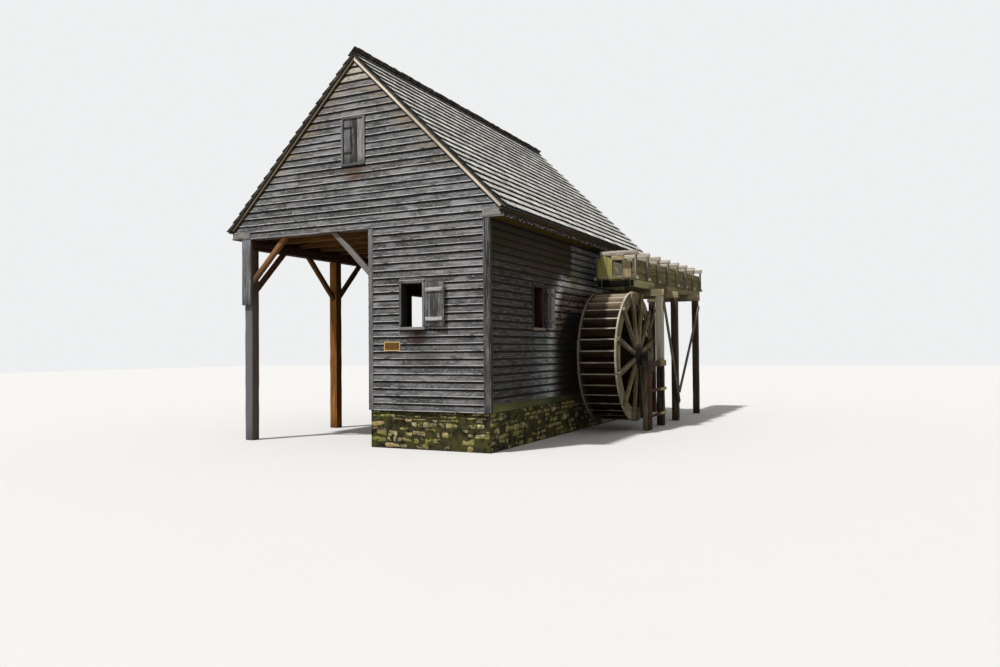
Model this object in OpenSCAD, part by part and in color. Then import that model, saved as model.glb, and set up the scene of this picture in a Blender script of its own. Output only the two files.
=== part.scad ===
/* [Building] */
// Width across the front gable, from wall face to wall face
mill_w = 4880; // [4600:10:5400]
// Length along the ridge, from wall face to wall face
mill_l = 7620; // [7200:10:8400]
// Width of the open wagon bay on the left of the room
bay_w = 2700; // [2400:10:2900]
// Height from the top of the stone to the gable's lower edge
bay_h = 2915; // [2700:5:3200]
// Thickness of the boarded walls
wall_t = 140; // [110:5:180]
// Height of the stone foundation from the lowest ground
stone_h = 600; // [450:10:900]
// Thickness of the stone foundation
stone_t = 300; // [240:10:400]
// How far the stone lies behind the boarded wall face
stone_in = 20; // [0:5:40]
// Thickness of the room floor
floor_t = 60; // [40:5:100]

/* [Roof] */
// Height of the roof's underside at the wall face above the gable's lower edge
eave_rise = 425; // [360:5:520]
// Slope of the roof in degrees
roof_pitch = 45; // [40:1:50]
// Thickness of the boarded and shingled roof, square to the slope
roof_t = 70; // [50:5:100]
// Level distance that the roof reaches past the long walls
eave_over = 290; // [260:10:400]
// Distance that the roof reaches past the gables
gable_over = 50; // [36:2:120]
// Width of the comb board on the ridge, along the slope
comb_w = 220; // [160:10:300]
// Distance that the comb stands past the ridge, along the slope
comb_up = 70; // [40:5:110]
// Thickness of the comb board
comb_t = 20; // [15:1:30]
// Width of the rake boards, square to the slope
rake_w = 60; // [50:5:120]
// Thickness of the rake and return boards
rake_t = 30; // [20:1:34]
// Width of the boxed eave past the wall face
eave_box = 230; // [200:5:256]
// Thickness of the boards of the boxed eave
eave_board = 25; // [18:1:35]
// Height of the boxed eave's underside above the gable's lower edge
eave_up = 20; // [0:5:60]
// Height of the return boards
return_h = 125; // [100:5:160]
// Distance that the slanted end of a return board leans in at its top
return_lean = 70; // [0:5:100]

/* [Timber frame] */
// Width of the square bay posts
post_w = 170; // [140:5:200]
// Distance from the building's corner to the bay posts
post_in = 25; // [20:5:50]
// Number of bays along the open left side
side_bays = 3; // [2:1:4]
// Distance from one bay post to the next, counted from the front
post_step = 2360; // [1800:10:2700]
// Height of the plate that the bay posts carry
plate_h = 160; // [130:5:200]
// Length of the knee braces along post and beam
knee_leg = 780; // [500:10:900]
// Width of the knee braces
knee_w = 80; // [60:5:110]
// Height of the ceiling joists
joist_h = 160; // [120:5:200]
// Thickness of the ceiling joists
joist_t = 70; // [50:5:90]
// Distance from the front to the first ceiling joist
joist_in = 690; // [400:10:900]
// Distance between joist centres
joist_step = 610; // [500:10:800]
// Thickness of the loft floor
loft_t = 30; // [20:5:50]

/* [Trim] */
// Width of the corner boards on the gable faces
corner_w = 100; // [80:5:130]
// Width of the corner boards beside the bay
corner_bay_w = 88; // [60:2:130]
// Width of the corner boards on the long wall
corner_side_w = 50; // [40:5:110]
// Distance that corner boards stand out from the wall
corner_t = 22; // [16:1:28]
// Length of the casing at the top of the bay's corner posts
casing_h = 1145; // [800:5:1500]
// Width of the blank plate beside the bay
plaque_w = 300; // [200:5:400]
// Height of the blank plate
plaque_h = 148; // [100:2:200]
// Thickness of the blank plate
plaque_t = 20; // [10:1:30]
// Distance from the bay to the blank plate
plaque_in = 300; // [200:5:350]
// Height of the blank plate above the stone
plaque_up = 943; // [700:1:1000]

/* [Openings] */
// Width of the room windows
window_w = 380; // [320:5:500]
// Height of the room windows
window_h = 690; // [600:5:800]
// Height of the window openings above the stone
window_up = 1315; // [1200:5:1500]
// Distance from the bay to the middle of the gable windows
window_in = 826; // [700:1:900]
// Distance from the front to the middle of the side window
side_window_y = 1780; // [1400:5:2200]
// Width of the frame boards round the openings
trim_w = 45; // [35:1:60]
// Distance that the frames stand out from the wall
trim_out = 30; // [30:1:40]
// Depth of the window sills in front of the wall
sill_out = 52; // [42:1:80]
// Width of the loft openings
loft_w = 390; // [320:5:500]
// Height of the loft openings
loft_h = 730; // [600:5:800]
// Height of the loft openings above the gable's lower edge
loft_up = 1110; // [900:5:1200]
// Distance of the loft openings to the left of the ridge, seen from the front
loft_off = 30; // [0:5:100]
// Width of the doorway from the bay to the room
door_w = 900; // [750:10:1000]
// Height of the doorway above the stone
door_h = 1900; // [1800:10:2200]
// Distance from the front to the doorway
door_y = 1060; // [1000:10:1600]
// Thickness of the shutter boards
shutter_t = 25; // [18:1:35]
// Angle in degrees that an open shutter stands off the wall
shutter_gap = 8; // [4:1:15]
// Gap between the wall and an open shutter at its hinges
shutter_seat = 5; // [2:1:12]
// Width of the shutter battens
batten_w = 62; // [40:1:90]
// Thickness of the shutter battens
batten_t = 20; // [12:1:30]

/* [Water wheel] */
// Outer radius of the wheel
wheel_r = 1240; // [1100:5:1240]
// Distance from the front to the axle
wheel_y = 4230; // [4100:5:4500]
// Height of the axle above the stone
axle_up = 805; // [780:5:900]
// Gap between the long wall and the wheel rim
wheel_gap = 250; // [220:5:320]
// Clear width between the two rims
bucket_w = 665; // [560:5:760]
// Thickness of the rims
rim_t = 40; // [30:1:60]
// Depth of the rims from the outer edge to the drum boards
rim_d = 240; // [200:5:280]
// Thickness of the drum boards that close the buckets
sole_t = 25; // [18:1:40]
// Number of buckets
buckets = 36; // [28:1:40]
// Thickness of the bucket boards
bucket_t = 26; // [18:1:32]
// Share of the rim's depth where a bucket bends
bucket_bend = 0.45; // [0.35:0.05:0.6]
// Number of arms on each side
arms = 12; // [8:2:12]
// Width of the arms
arm_w = 85; // [60:5:88]
// Thickness of the arms
arm_t = 60; // [40:5:70]
// Distance that the arms beside the wall stop short of the wheel's edge
arm_back = 110; // [0:5:140]
// Distance across the flats of the many-sided hub
hub_flats = 340; // [340:5:420]
// Distance that the hub stands out past the arms
hub_out = 30; // [20:1:50]
// Radius of the iron hub plates
plate_r = 240; // [225:5:300]
// Thickness of the iron hub plates
hub_plate_t = 12; // [8:1:16]
// Radius of the iron axle
axle_r = 50; // [35:1:60]
// Running clearance between the axle and its bearings
axle_clear = 0.1; // [0.05:0.05:0.1]
// Clearance between wooden pieces that only seat
seat_gap = 0.3; // [0.1:0.1:0.5]

/* [Flume] */
// Inner width of the trough
flume_w = 650; // [560:5:700]
// Length of the trough
flume_l = 5800; // [5400:10:8000]
// Distance of the trough's middle outside the wheel's middle
flume_off = 50; // [0:5:60]
// Distance from the axle to the trough's open end, towards the front
flume_lead = 210; // [100:5:300]
// Width of the full-height board that half closes the trough's open end
gate_w = 240; // [200:5:400]
// Height of the lower boards beside it, over which the water spills
spill_h = 255; // [150:5:300]
// Height of the trough's side planks, which cover the edges of its floor
flume_h = 395; // [350:5:480]
// Thickness of the trough's side planks
flume_side_t = 40; // [30:1:60]
// Thickness of the trough's floor planks
flume_floor_t = 40; // [30:1:60]
// Fall of the trough towards the wheel, in mm for each metre
flume_fall = 20; // [0:1:30]
// Height of the two long beams under the trough
stringer_h = 140; // [120:5:180]
// Width of the two long beams under the trough
stringer_w = 90; // [70:5:120]
// Clear height between the wheel and the long beams
flume_clear = 85; // [60:5:150]
// Number of cleats on each side of the trough
cleats = 8; // [6:1:11]
// Width of the cleats along the trough
cleat_w = 90; // [60:5:120]
// Distance that the cleats stand out from the trough
cleat_t = 40; // [30:1:70]
// Distance that the cleats stand up past the side planks
cleat_up = 75; // [0:5:100]
// Distance that the ties reach past the outer cleats, away from the wall
tie_out = 25; // [0:5:100]
// Distance that the ties reach past the cleats beside the wall
tie_in = 0; // [0:5:60]
// Thickness of the ties
tie_t = 85; // [30:1:100]

/* [Trestle] */
// Width of the square trestle posts
leg_w = 140; // [120:5:180]
// Gap between the wheel's arms and the outer posts
leg_gap = 65; // [50:5:100]
// Gap between the long wall and the inner posts
inner_gap = 70; // [40:5:100]
// Height of the cap beams
cap_h = 140; // [120:5:180]
// Distance that the cap beams reach past the outer posts
cap_out = 30; // [0:5:60]
// Distance from the axle to the first trestle frame
bent_a = 1040; // [950:5:1150]
// Distance from the axle to the second trestle frame
bent_b = 2270; // [2200:5:2600]
// Distance from the trough's far end back to the last trestle frame
bent_end = 1280; // [150:5:1400]
// Width of the crossed braces
brace_w = 90; // [70:5:120]
// Thickness of the crossed braces
brace_t = 35; // [25:1:35]
// Thickness of the bearing post along the axle
bearing_post_t = 110; // [100:5:120]
// Width of the bearing post along the wall
bearing_post_w = 300; // [240:5:340]
// Height of the rail from the bearing post to the trestle
beam_h = 120; // [100:5:160]
// Height of the iron bearing's foot below the axle
bearing_foot = 35; // [25:1:50]
// Length of the outer bearing along the axle
bearing_l = 100; // [80:5:100]
// Height of the rungs below that rail
rung_h = 60; // [40:5:90]
// Height of the lower ends of the trestle's braces
brace_foot = 400; // [200:10:600]

/* [Hidden] */
$fn = 96;
// Cutters reach this far past the faces that they cut
past = 1;
mid_x = mill_w / 2;
// Levels of the building
head_z = stone_h + bay_h;
plate_z = head_z - plate_h;
eave_z = head_z + eave_rise;
ridge_z = eave_z + mid_x * tan(roof_pitch);
soffit_z = head_z + eave_up;
window_z = stone_h + window_up;
loft_z = head_z + loft_up;
loft_top = head_z + joist_h + loft_t;
// Inside faces of the walls
room_x0 = bay_w + wall_t;
room_x1 = mill_w - wall_t;
inner_y0 = wall_t;
inner_y1 = mill_l - wall_t;
window_x = bay_w + window_in;
loft_x = mid_x - loft_off;
// Right-hand edge of the roof, which leans out by its own thickness
roof_lean = roof_t * sin(roof_pitch);
// Wheel, from the long wall outwards
axle_z = stone_h + axle_up;
rim_x0 = mill_w + wheel_gap;
bucket_x0 = rim_x0 + rim_t;
bucket_x1 = bucket_x0 + bucket_w;
rim_x1 = bucket_x1 + rim_t;
arm_x0 = rim_x0 - seat_gap - arm_t;
arm_x1 = rim_x1 + seat_gap + arm_t;
sole_r = wheel_r - rim_d;
hub_x0 = arm_x0 - hub_out;
hub_x1 = arm_x1 + hub_out;
// Trestle and flume
leg_x = arm_x1 + leg_gap;
inner_x = mill_w + inner_gap;
wheel_x = (rim_x0 + rim_x1) / 2;
flume_x = wheel_x + flume_off;
flume_y0 = wheel_y - flume_lead;
flume_y1 = flume_y0 + flume_l;
stringer_z = axle_z + wheel_r + flume_clear;
trough_x0 = flume_x - flume_w / 2 - flume_side_t;
trough_x1 = flume_x + flume_w / 2 + flume_side_t;
// Heights over the long beams' underside
side_up = stringer_h + seat_gap;
side_top = side_up + flume_h;
floor_up = side_up + flume_floor_t;
tie_up = side_top + cleat_up + seat_gap;
beam_z = axle_z - axle_r - bearing_foot;
bents = [wheel_y + bent_a, wheel_y + bent_b, flume_y1 - bent_end];
bearing_x = leg_x + leg_w - bearing_post_t;
// Battens stop short of a shutter's edges by this share of its width
batten_in = 1 / 16;
// How far the open shutters reach out from the wall
shutter_out = shutter_seat + window_w * (1 - batten_in) * sin(shutter_gap)
    + (shutter_t + batten_t) * cos(shutter_gap);
// Origin: middle of the whole footprint
centre_x = (leg_x + leg_w + max(brace_t, cap_out) - eave_over - roof_lean) / 2;
centre_y = (flume_y1 - max(gable_over, shutter_out, sill_out)) / 2;

// Height of the roof's underside over a place across the building
function roof_under(x) = ridge_z - abs(x - mid_x) * tan(roof_pitch);
// Height of the long beams' underside, which fall towards the wheel
function run_z(y) = stringer_z + (y - flume_y0) * flume_fall / 1000;

// Moves the model so that the origin is under the middle of its footprint
module placed() {
    translate([-centre_x, -centre_y, 0]) children();
}

// Block between two opposite corners
module block(x0, x1, y0, y1, z0, z1) {
    translate([x0, y0, z0]) cube([x1 - x0, y1 - y0, z1 - z0]);
}

// Extrudes an outline drawn in X and Z along Y
module along_y(y0, y1) {
    translate([0, y1, 0]) rotate([90, 0, 0]) linear_extrude(y1 - y0) children();
}

// Extrudes an outline drawn in Y and Z along X
module along_x(x0, x1) {
    translate([x0, 0, 0]) rotate([90, 0, 90]) linear_extrude(x1 - x0) children();
}

// Repeats a piece of the front at the back, mirrored
module front_and_back() {
    children();
    translate([0, mill_l, 0]) mirror([0, 1, 0]) children();
}

// Places for the three room windows: X along the wall, Y into it, Z up from the opening
module at_front_window() {
    translate([window_x, 0, window_z]) children();
}
module at_back_window() {
    translate([window_x, mill_l, window_z]) mirror([0, 1, 0]) children();
}
module at_side_window() {
    translate([mill_w, side_window_y, window_z]) rotate(90) children();
}
module at_front_loft() {
    translate([loft_x, 0, loft_z]) children();
}

// Hole in a wall that takes the frame of an opening
module frame_hole(w, h) {
    block(-w / 2 - trim_w, w / 2 + trim_w, -past, wall_t + past, -trim_w, h + trim_w);
}

// Frame as deep as the wall, standing out in front of it, with a deeper sill
module frame_boards(w, h, sill) {
    difference() {
        block(-w / 2 - trim_w, w / 2 + trim_w, -trim_out, wall_t, -trim_w, h + trim_w);
        block(-w / 2, w / 2, -trim_out - past, wall_t + past, 0, h);
    }
    if (sill > trim_out)
        block(-w / 2 - trim_w - 12, w / 2 + trim_w + 12, -sill, 0, -trim_w, 0);
}

// Board shutter with two battens on the face that looks outwards when it is open
module shutter_leaf(w, h) {
    block(0, w, -shutter_t, 0, 0, h);
    for (z = [h / 8, h * 7 / 8 - batten_w])
        block(w * batten_in, w * (1 - batten_in), -shutter_t - batten_t, -shutter_t, z, z + batten_w);
}

// Shutter swung open to the right of its window
module open_shutter() {
    translate([window_w / 2 + trim_w + shutter_t * sin(shutter_gap) + seat_gap, -shutter_seat, 0])
        rotate(-shutter_gap) shutter_leaf(window_w, window_h);
}

// Outline of a gable above the bay, in X and Z
module gable_outline() {
    polygon([[0, head_z], [mill_w, head_z], [mill_w, eave_z], [mid_x, ridge_z], [0, eave_z]]);
}

module gable_wall() {
    difference() {
        along_y(0, wall_t) gable_outline();
        at_front_loft() frame_hole(loft_w, loft_h);
    }
}

// Room side of a gable end, below the gable
module room_end_wall() {
    difference() {
        block(bay_w, mill_w, 0, wall_t, stone_h, head_z);
        at_front_window() frame_hole(window_w, window_h);
    }
}

module stone_foundation() {
    color("#8d8878") placed() difference() {
        block(bay_w + stone_in, mill_w - stone_in, stone_in, mill_l - stone_in, 0, stone_h);
        block(bay_w + stone_in + stone_t, mill_w - stone_in - stone_t,
            stone_in + stone_t, mill_l - stone_in - stone_t, -past, stone_h + past);
    }
}

module room_floor() {
    color("#86745e") placed() block(room_x0, room_x1, inner_y0, inner_y1, stone_h, stone_h + floor_t);
}

module front_wall() {
    color("#6b6a68") placed() room_end_wall();
}

module back_wall() {
    color("#6b6a68") placed() translate([0, mill_l, 0]) mirror([0, 1, 0]) room_end_wall();
}

// Long wall beside the wheel, with its top cut to the roof's slope
module right_wall() {
    color("#5d5b59") placed() difference() {
        along_y(inner_y0, inner_y1)
            polygon([[room_x1, stone_h], [mill_w, stone_h], [mill_w, roof_under(mill_w)],
                [room_x1, roof_under(room_x1)]]);
        at_side_window() frame_hole(window_w, window_h);
        translate([room_x1 - past, wheel_y, axle_z]) rotate([0, 90, 0])
            cylinder(r = axle_r + 15, h = wall_t + 2 * past);
    }
}

module bay_wall_front() {
    color("#6f5f50") placed() block(bay_w, room_x0, inner_y0, door_y, stone_h, head_z);
}

module bay_wall_back() {
    color("#6f5f50") placed() block(bay_w, room_x0, door_y + door_w, inner_y1, stone_h, head_z);
}

module bay_wall_lintel() {
    color("#6f5f50") placed() block(bay_w, room_x0, door_y, door_y + door_w, stone_h + door_h, head_z);
}

module front_gable() {
    color("#6b6a68") placed() gable_wall();
}

module back_gable() {
    color("#6b6a68") placed() translate([0, mill_l, 0]) mirror([0, 1, 0]) gable_wall();
}

// Low boarded wall over the bay plate that closes the loft under the eave
module left_knee_wall() {
    color("#5d5b59") placed() along_y(inner_y0, inner_y1)
        polygon([[0, head_z], [wall_t, head_z], [wall_t, roof_under(wall_t)], [0, roof_under(0)]]);
}

module corner_boards() {
    color("#77767a") placed() front_and_back() {
        // Corner by the wheel, wrapped round both faces
        translate([0, 0, stone_h]) linear_extrude(soffit_z - stone_h)
            polygon([[mill_w - corner_w, -corner_t], [mill_w + corner_t, -corner_t],
                [mill_w + corner_t, corner_side_w], [mill_w, corner_side_w], [mill_w, 0], [mill_w - corner_w, 0]]);
        // Corner of the room beside the bay
        block(bay_w, bay_w + corner_bay_w, -corner_t, 0, stone_h, head_z);
        // Casing round the top of the bay's corner post
        translate([0, 0, head_z - casing_h]) linear_extrude(casing_h)
            polygon([[0, -corner_t], [post_in + post_w, -corner_t], [post_in + post_w, post_in],
                [post_in, post_in], [post_in, post_in + post_w], [0, post_in + post_w]]);
    }
}

// Front faces of the bay posts, at equal steps from the front, the last one in the back corner
function bay_post_y(i) = i < side_bays ? post_in + i * post_step : mill_l - post_in - post_w;

module bay_posts() {
    color("#7a5a40") placed() for (i = [0:side_bays])
        block(post_in, post_in + post_w, bay_post_y(i), bay_post_y(i) + post_w, 0, plate_z);
}

module bay_plate() {
    color("#6a4a32") placed()
        block(post_in, post_in + post_w, post_in, mill_l - post_in, plate_z, head_z);
}

// Knee brace outline in the corner between a post face and the underside of a beam
module knee_outline() {
    polygon([[0, -knee_leg], [0, -knee_leg + knee_w * sqrt(2)], [knee_leg - knee_w * sqrt(2), 0], [knee_leg, 0]]);
}

module knee_braces() {
    knee_x = post_in + (post_w - knee_w) / 2;
    color("#7a5a40") placed() {
        // Across the bay at both ends, from the corner post and from the room wall
        front_and_back() {
            along_y(post_in + seat_gap, post_in + seat_gap + knee_w) {
                translate([post_in + post_w, head_z]) knee_outline();
                translate([bay_w, head_z]) mirror([1, 0]) knee_outline();
            }
        }
        // Along the plate, on each side of every post
        for (i = [0:side_bays]) {
            if (i < side_bays)
                along_x(knee_x, knee_x + knee_w)
                    translate([bay_post_y(i) + post_w, plate_z]) knee_outline();
            if (i > 0)
                along_x(knee_x, knee_x + knee_w)
                    translate([bay_post_y(i), plate_z]) mirror([1, 0]) knee_outline();
        }
    }
}

module ceiling_joists() {
    color("#8a5a3a") placed() for (y = [joist_in:joist_step:inner_y1 - joist_t])
        block(wall_t, room_x1, y, y + joist_t, head_z, head_z + joist_h);
}

module loft_floor() {
    color("#7d5236") placed() block(wall_t, room_x1, inner_y0, inner_y1, head_z + joist_h, loft_top);
}

// Right half of the roof in X and Z, with the eave cut square to the slope
module roof_half_outline() {
    edge_x = mill_w + eave_over;
    edge_z = roof_under(edge_x);
    polygon([[mid_x, ridge_z], [edge_x, edge_z],
        [edge_x + roof_lean, edge_z + roof_t * cos(roof_pitch)],
        [mid_x, ridge_z + roof_t / cos(roof_pitch)]]);
}

module left_roof() {
    color("#857c73") placed() along_y(-gable_over, mill_l + gable_over)
        translate([mill_w, 0]) mirror([1, 0]) roof_half_outline();
}

module right_roof() {
    color("#857c73") placed() along_y(-gable_over, mill_l + gable_over) roof_half_outline();
}

// Board on the left slope that stands past the ridge over the right slope
module ridge_comb() {
    color("#4c4742") placed() along_y(-gable_over, mill_l + gable_over)
        translate([mid_x, ridge_z + roof_t / cos(roof_pitch)]) rotate(roof_pitch)
            translate([comb_up - comb_w, seat_gap]) square([comb_w, comb_t]);
}

// Right half of a rake board in X and Z, and the return board at its foot, which reaches so far in from the corner
module rake_half_outline(inside) {
    end_x = mill_w + eave_box;
    drop = rake_w / cos(roof_pitch);
    polygon([[mid_x, ridge_z], [end_x, roof_under(end_x)], [end_x, roof_under(end_x) - drop / 2],
        [end_x - drop / 2, roof_under(end_x) - drop / 2], [mid_x, ridge_z - drop]]);
    polygon([[mill_w - inside, soffit_z], [end_x, soffit_z], [end_x - return_lean, soffit_z + return_h],
        [mill_w - inside, soffit_z + return_h]]);
}

module rake_boards() {
    color("#a8916f") placed() front_and_back() along_y(-rake_t, 0) {
        rake_half_outline(corner_w - past);
        translate([mill_w, 0]) mirror([1, 0]) rake_half_outline(post_in + post_w);
    }
}

// Soffit and fascia of the right-hand eave, in X and Z
module eave_box_outline() {
    out_x = mill_w + eave_box;
    polygon([[mill_w, soffit_z], [out_x, soffit_z], [out_x, roof_under(out_x)],
        [out_x - eave_board, roof_under(out_x - eave_board)], [out_x - eave_board, soffit_z + eave_board],
        [mill_w, soffit_z + eave_board]]);
}

// Board that closes the boxed eave at a gable, in X and Z
module eave_end_outline() {
    out_x = mill_w + eave_box;
    polygon([[mill_w, soffit_z], [out_x, soffit_z], [out_x, roof_under(out_x)], [mill_w, roof_under(mill_w)]]);
}

// Boxed eave on the right, closed at both gables
module eave_box() {
    along_y(0, mill_l) eave_box_outline();
    front_and_back() along_y(0, eave_board) eave_end_outline();
}

module eave_boxes() {
    color("#6f675e") placed() {
        eave_box();
        translate([mill_w, 0, 0]) mirror([1, 0, 0]) eave_box();
    }
}

module window_frames() {
    color("#6d6862") placed() {
        at_front_window() frame_boards(window_w, window_h, sill_out);
        at_back_window() frame_boards(window_w, window_h, sill_out);
        at_side_window() frame_boards(window_w, window_h, sill_out);
    }
}

module loft_frames() {
    color("#6d6862") placed() front_and_back() at_front_loft() frame_boards(loft_w, loft_h, 0);
}

module room_shutters() {
    color("#5a5856") placed() {
        at_front_window() open_shutter();
        at_back_window() open_shutter();
        at_side_window() open_shutter();
    }
}

module loft_shutters() {
    color("#5a5856") placed() front_and_back() at_front_loft()
        translate([-loft_w / 2 + seat_gap, shutter_t - trim_out / 2, seat_gap])
            block(0, loft_w - 2 * seat_gap, -shutter_t, 0, 0, loft_h - 2 * seat_gap);
}

module plaque() {
    color("#9a6a4a") placed()
        block(bay_w + plaque_in, bay_w + plaque_in + plaque_w, -plaque_t, 0,
            stone_h + plaque_up, stone_h + plaque_up + plaque_h);
}

// Place of the wheel: X along the axle from the building outwards, at the axle's height
module at_axle() {
    translate([0, wheel_y, axle_z]) children();
}

// Round plate or ring across the axle, from x0 to x1
module disc(r, x0, x1, hole) {
    translate([x0, 0, 0]) rotate([0, 90, 0]) difference() {
        cylinder(r = r, h = x1 - x0);
        if (hole > 0) translate([0, 0, -past]) cylinder(r = hole, h = x1 - x0 + 2 * past);
    }
}

module inner_rim() {
    color("#8b8271") placed() at_axle() disc(wheel_r, rim_x0, bucket_x0, sole_r);
}

module outer_rim() {
    color("#8b8271") placed() at_axle() disc(wheel_r, bucket_x1, rim_x1, sole_r);
}

// Arms on the outer faces of both rims, from the flats of the hub towards the wheel's edge
module wheel_arms() {
    color("#8e8674") placed() at_axle() for (side = [[arm_x0, arm_back], [rim_x1 + seat_gap, 0]], i = [0:arms - 1])
        rotate([(i + 0.5) * 360 / arms, 0, 0])
            block(side[0], side[0] + arm_t, hub_flats / 2 + seat_gap, wheel_r - side[1], -arm_w / 2, arm_w / 2);
}

// One bucket in the wheel's plane: a radial board off the drum, then a board slanted to the edge
module bucket_outline() {
    bend_r = sole_r + rim_d * bucket_bend;
    lip_y = bend_r + 0.7 * (wheel_r - bend_r);
    half = bucket_t / 2;
    reach = sqrt(wheel_r * wheel_r - lip_y * lip_y) * 0.35;
    polygon([[sole_r + seat_gap, half], [bend_r, half], [wheel_r - bucket_t, half - reach],
        [wheel_r - bucket_t, -half - reach], [bend_r - half, -half], [sole_r + seat_gap, -half]]);
}

module wheel_buckets() {
    color("#6b6152") placed() at_axle() for (i = [0:buckets - 1])
        rotate([i * 360 / buckets, 0, 0])
            along_x(bucket_x0 + seat_gap, bucket_x1 - seat_gap) bucket_outline();
}

module wheel_sole() {
    color("#5f5648") placed() at_axle()
        disc(sole_r, bucket_x0 + seat_gap, bucket_x1 - seat_gap, sole_r - sole_t);
}

// Prism with one flat for each arm
module hub_prism(x0, x1) {
    translate([x0, 0, 0]) rotate([0, 90, 0]) rotate(90)
        cylinder(r = hub_flats / 2 / cos(180 / arms), h = x1 - x0, $fn = arms);
}

// Wooden hub that carries both sets of arms
module wheel_hub() {
    color("#6f6658") placed() at_axle() difference() {
        hub_prism(hub_x0, hub_x1);
        disc(axle_r, hub_x0 - past, hub_x1 + past, 0);
    }
}

// Iron plates round the hub, on the outer faces of the arms
module hub_plates() {
    color("#3b3230") placed() at_axle()
        for (x = [arm_x0 - seat_gap - hub_plate_t, arm_x1 + seat_gap]) difference() {
            disc(plate_r, x, x + hub_plate_t, 0);
            hub_prism(x - past, x + hub_plate_t + past);
        }
}

// Iron axle from inside the room, through the wall and the hub, to the outer bearing
module axle() {
    color("#4a4442") placed() at_axle() disc(axle_r, room_x1 - 60, leg_x + leg_w, 0);
}

// Iron bearing plate on the wall where the axle goes through
module wall_bearing() {
    color("#3b3230") placed() at_axle() disc(axle_r + 75, mill_w, mill_w + 60, axle_r + axle_clear);
}

module outer_bearing() {
    x0 = bearing_x + (bearing_post_t - bearing_l) / 2;
    color("#3b3230") placed() at_axle() difference() {
        union() {
            block(x0, x0 + bearing_l, -axle_r - 60, axle_r + 60, beam_z - axle_z, 0);
            disc(axle_r + 30, x0, x0 + bearing_l, 0);
        }
        disc(axle_r + axle_clear, x0 - past, x0 + bearing_l + past, 0);
    }
}

// Post that carries the outer bearing, with a rail and two rungs to the first trestle post on their outer faces
module bearing_frame() {
    y0 = wheel_y - bearing_post_w / 2;
    y1 = bents[0] + leg_w / 2;
    outer_x = leg_x + leg_w;
    color("#84705a") placed() {
        block(bearing_x, outer_x, y0, y0 + bearing_post_w, 0, beam_z);
        block(outer_x, outer_x + brace_t, y0, y1, beam_z - beam_h, beam_z);
        for (z = [stone_h * 0.4, stone_h * 1.2])
            block(outer_x, outer_x + brace_t, y0, y1, z, z + rung_h);
    }
}

// Piece that follows the trough's fall: its underside and top lie at given heights over the long beams
module run_block(x0, x1, y0, y1, low, high) {
    along_x(x0, x1)
        polygon([[y0, run_z(y0) + low], [y1, run_z(y1) + low], [y1, run_z(y1) + high], [y0, run_z(y0) + high]]);
}

// Post from the ground to the sloping underside of its cap
module leg(x, y) {
    top = -cap_h - seat_gap;
    along_x(x, x + leg_w)
        polygon([[y - leg_w / 2, 0], [y + leg_w / 2, 0], [y + leg_w / 2, run_z(y + leg_w / 2) + top],
            [y - leg_w / 2, run_z(y - leg_w / 2) + top]]);
}

module trestle_posts() {
    color("#84705a") placed() {
        for (y = bents) leg(leg_x, y);
        for (i = [1, 2]) leg(inner_x, bents[i]);
    }
}

// Cap beams across the trestle, the first one carried by the long wall at its inner end
module trestle_caps() {
    color("#8d7a5c") placed() for (i = [0:2])
        run_block(i == 0 ? mill_w : inner_x - cap_out, leg_x + leg_w + cap_out,
            bents[i] - leg_w / 2, bents[i] + leg_w / 2, -cap_h, -seat_gap);
}

// Plank between two places in Y and Z, with ends square to its length
module brace(x, ya, za, yb, zb) {
    run = sqrt(pow(yb - ya, 2) + pow(zb - za, 2));
    along_x(x, x + brace_t) translate([ya, za]) rotate(atan2(zb - za, yb - ya))
        translate([0, -brace_w / 2]) square([run, brace_w]);
}

// Height at which a brace is fixed near the top of a trestle post
function brace_top(i) = run_z(bents[i]) - cap_h - brace_w * 1.5;

// Braces on the posts' outer faces, and a crossed pair in the inner row
module trestle_braces() {
    color("#8b8577") placed() {
        brace(leg_x + leg_w, bents[0], brace_top(0), bents[1], brace_foot);
        brace(leg_x + leg_w, bents[2], brace_top(2), bents[1], brace_foot + 2.5 * brace_w);
        brace(inner_x + leg_w, bents[2], brace_top(2), bents[1], brace_foot);
        brace(inner_x - brace_t, bents[1], brace_top(1), bents[2], brace_foot);
    }
}

module flume_stringers() {
    color("#7f8050") placed() {
        for (x = [trough_x0, trough_x1 - stringer_w])
            run_block(x, x + stringer_w, flume_y0, flume_y1, 0, stringer_h);
        // Headers between the two long beams at both ends
        for (y = [flume_y0, flume_y1 - stringer_w])
            run_block(trough_x0 + stringer_w, trough_x1 - stringer_w, y, y + stringer_w, 0, stringer_h);
    }
}

module flume_floor() {
    color("#7a7348") placed()
        run_block(trough_x0 + flume_side_t + seat_gap, trough_x1 - flume_side_t - seat_gap,
            flume_y0, flume_y1, side_up, floor_up);
}

// Side planks, the closed far end and the near end, where the water leaves over low boards
module flume_sides() {
    gate_x = flume_x - flume_w / 2;
    gate_low = floor_up + seat_gap;
    color("#7c7a4e") placed() {
        for (x = [trough_x0, trough_x1 - flume_side_t])
            run_block(x, x + flume_side_t, flume_y0, flume_y1, side_up, side_top);
        run_block(gate_x, gate_x + flume_w, flume_y1 - flume_side_t, flume_y1, gate_low, side_top);
        run_block(gate_x, gate_x + gate_w, flume_y0, flume_y0 + flume_side_t, gate_low, side_top);
        run_block(gate_x + gate_w, gate_x + flume_w, flume_y0, flume_y0 + flume_side_t, gate_low, gate_low + spill_h);
    }
}

// Place of each cleat along the trough, from one end to the other
function cleat_y(i) = flume_y0 + i * (flume_l - cleat_w) / (cleats - 1);

module flume_cleats() {
    color("#8f8a78") placed()
        for (x = [trough_x0 - seat_gap - cleat_t, trough_x1 + seat_gap], i = [0:cleats - 1])
            run_block(x, x + cleat_t, cleat_y(i), cleat_y(i) + cleat_w, side_up, side_top + cleat_up);
}

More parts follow.
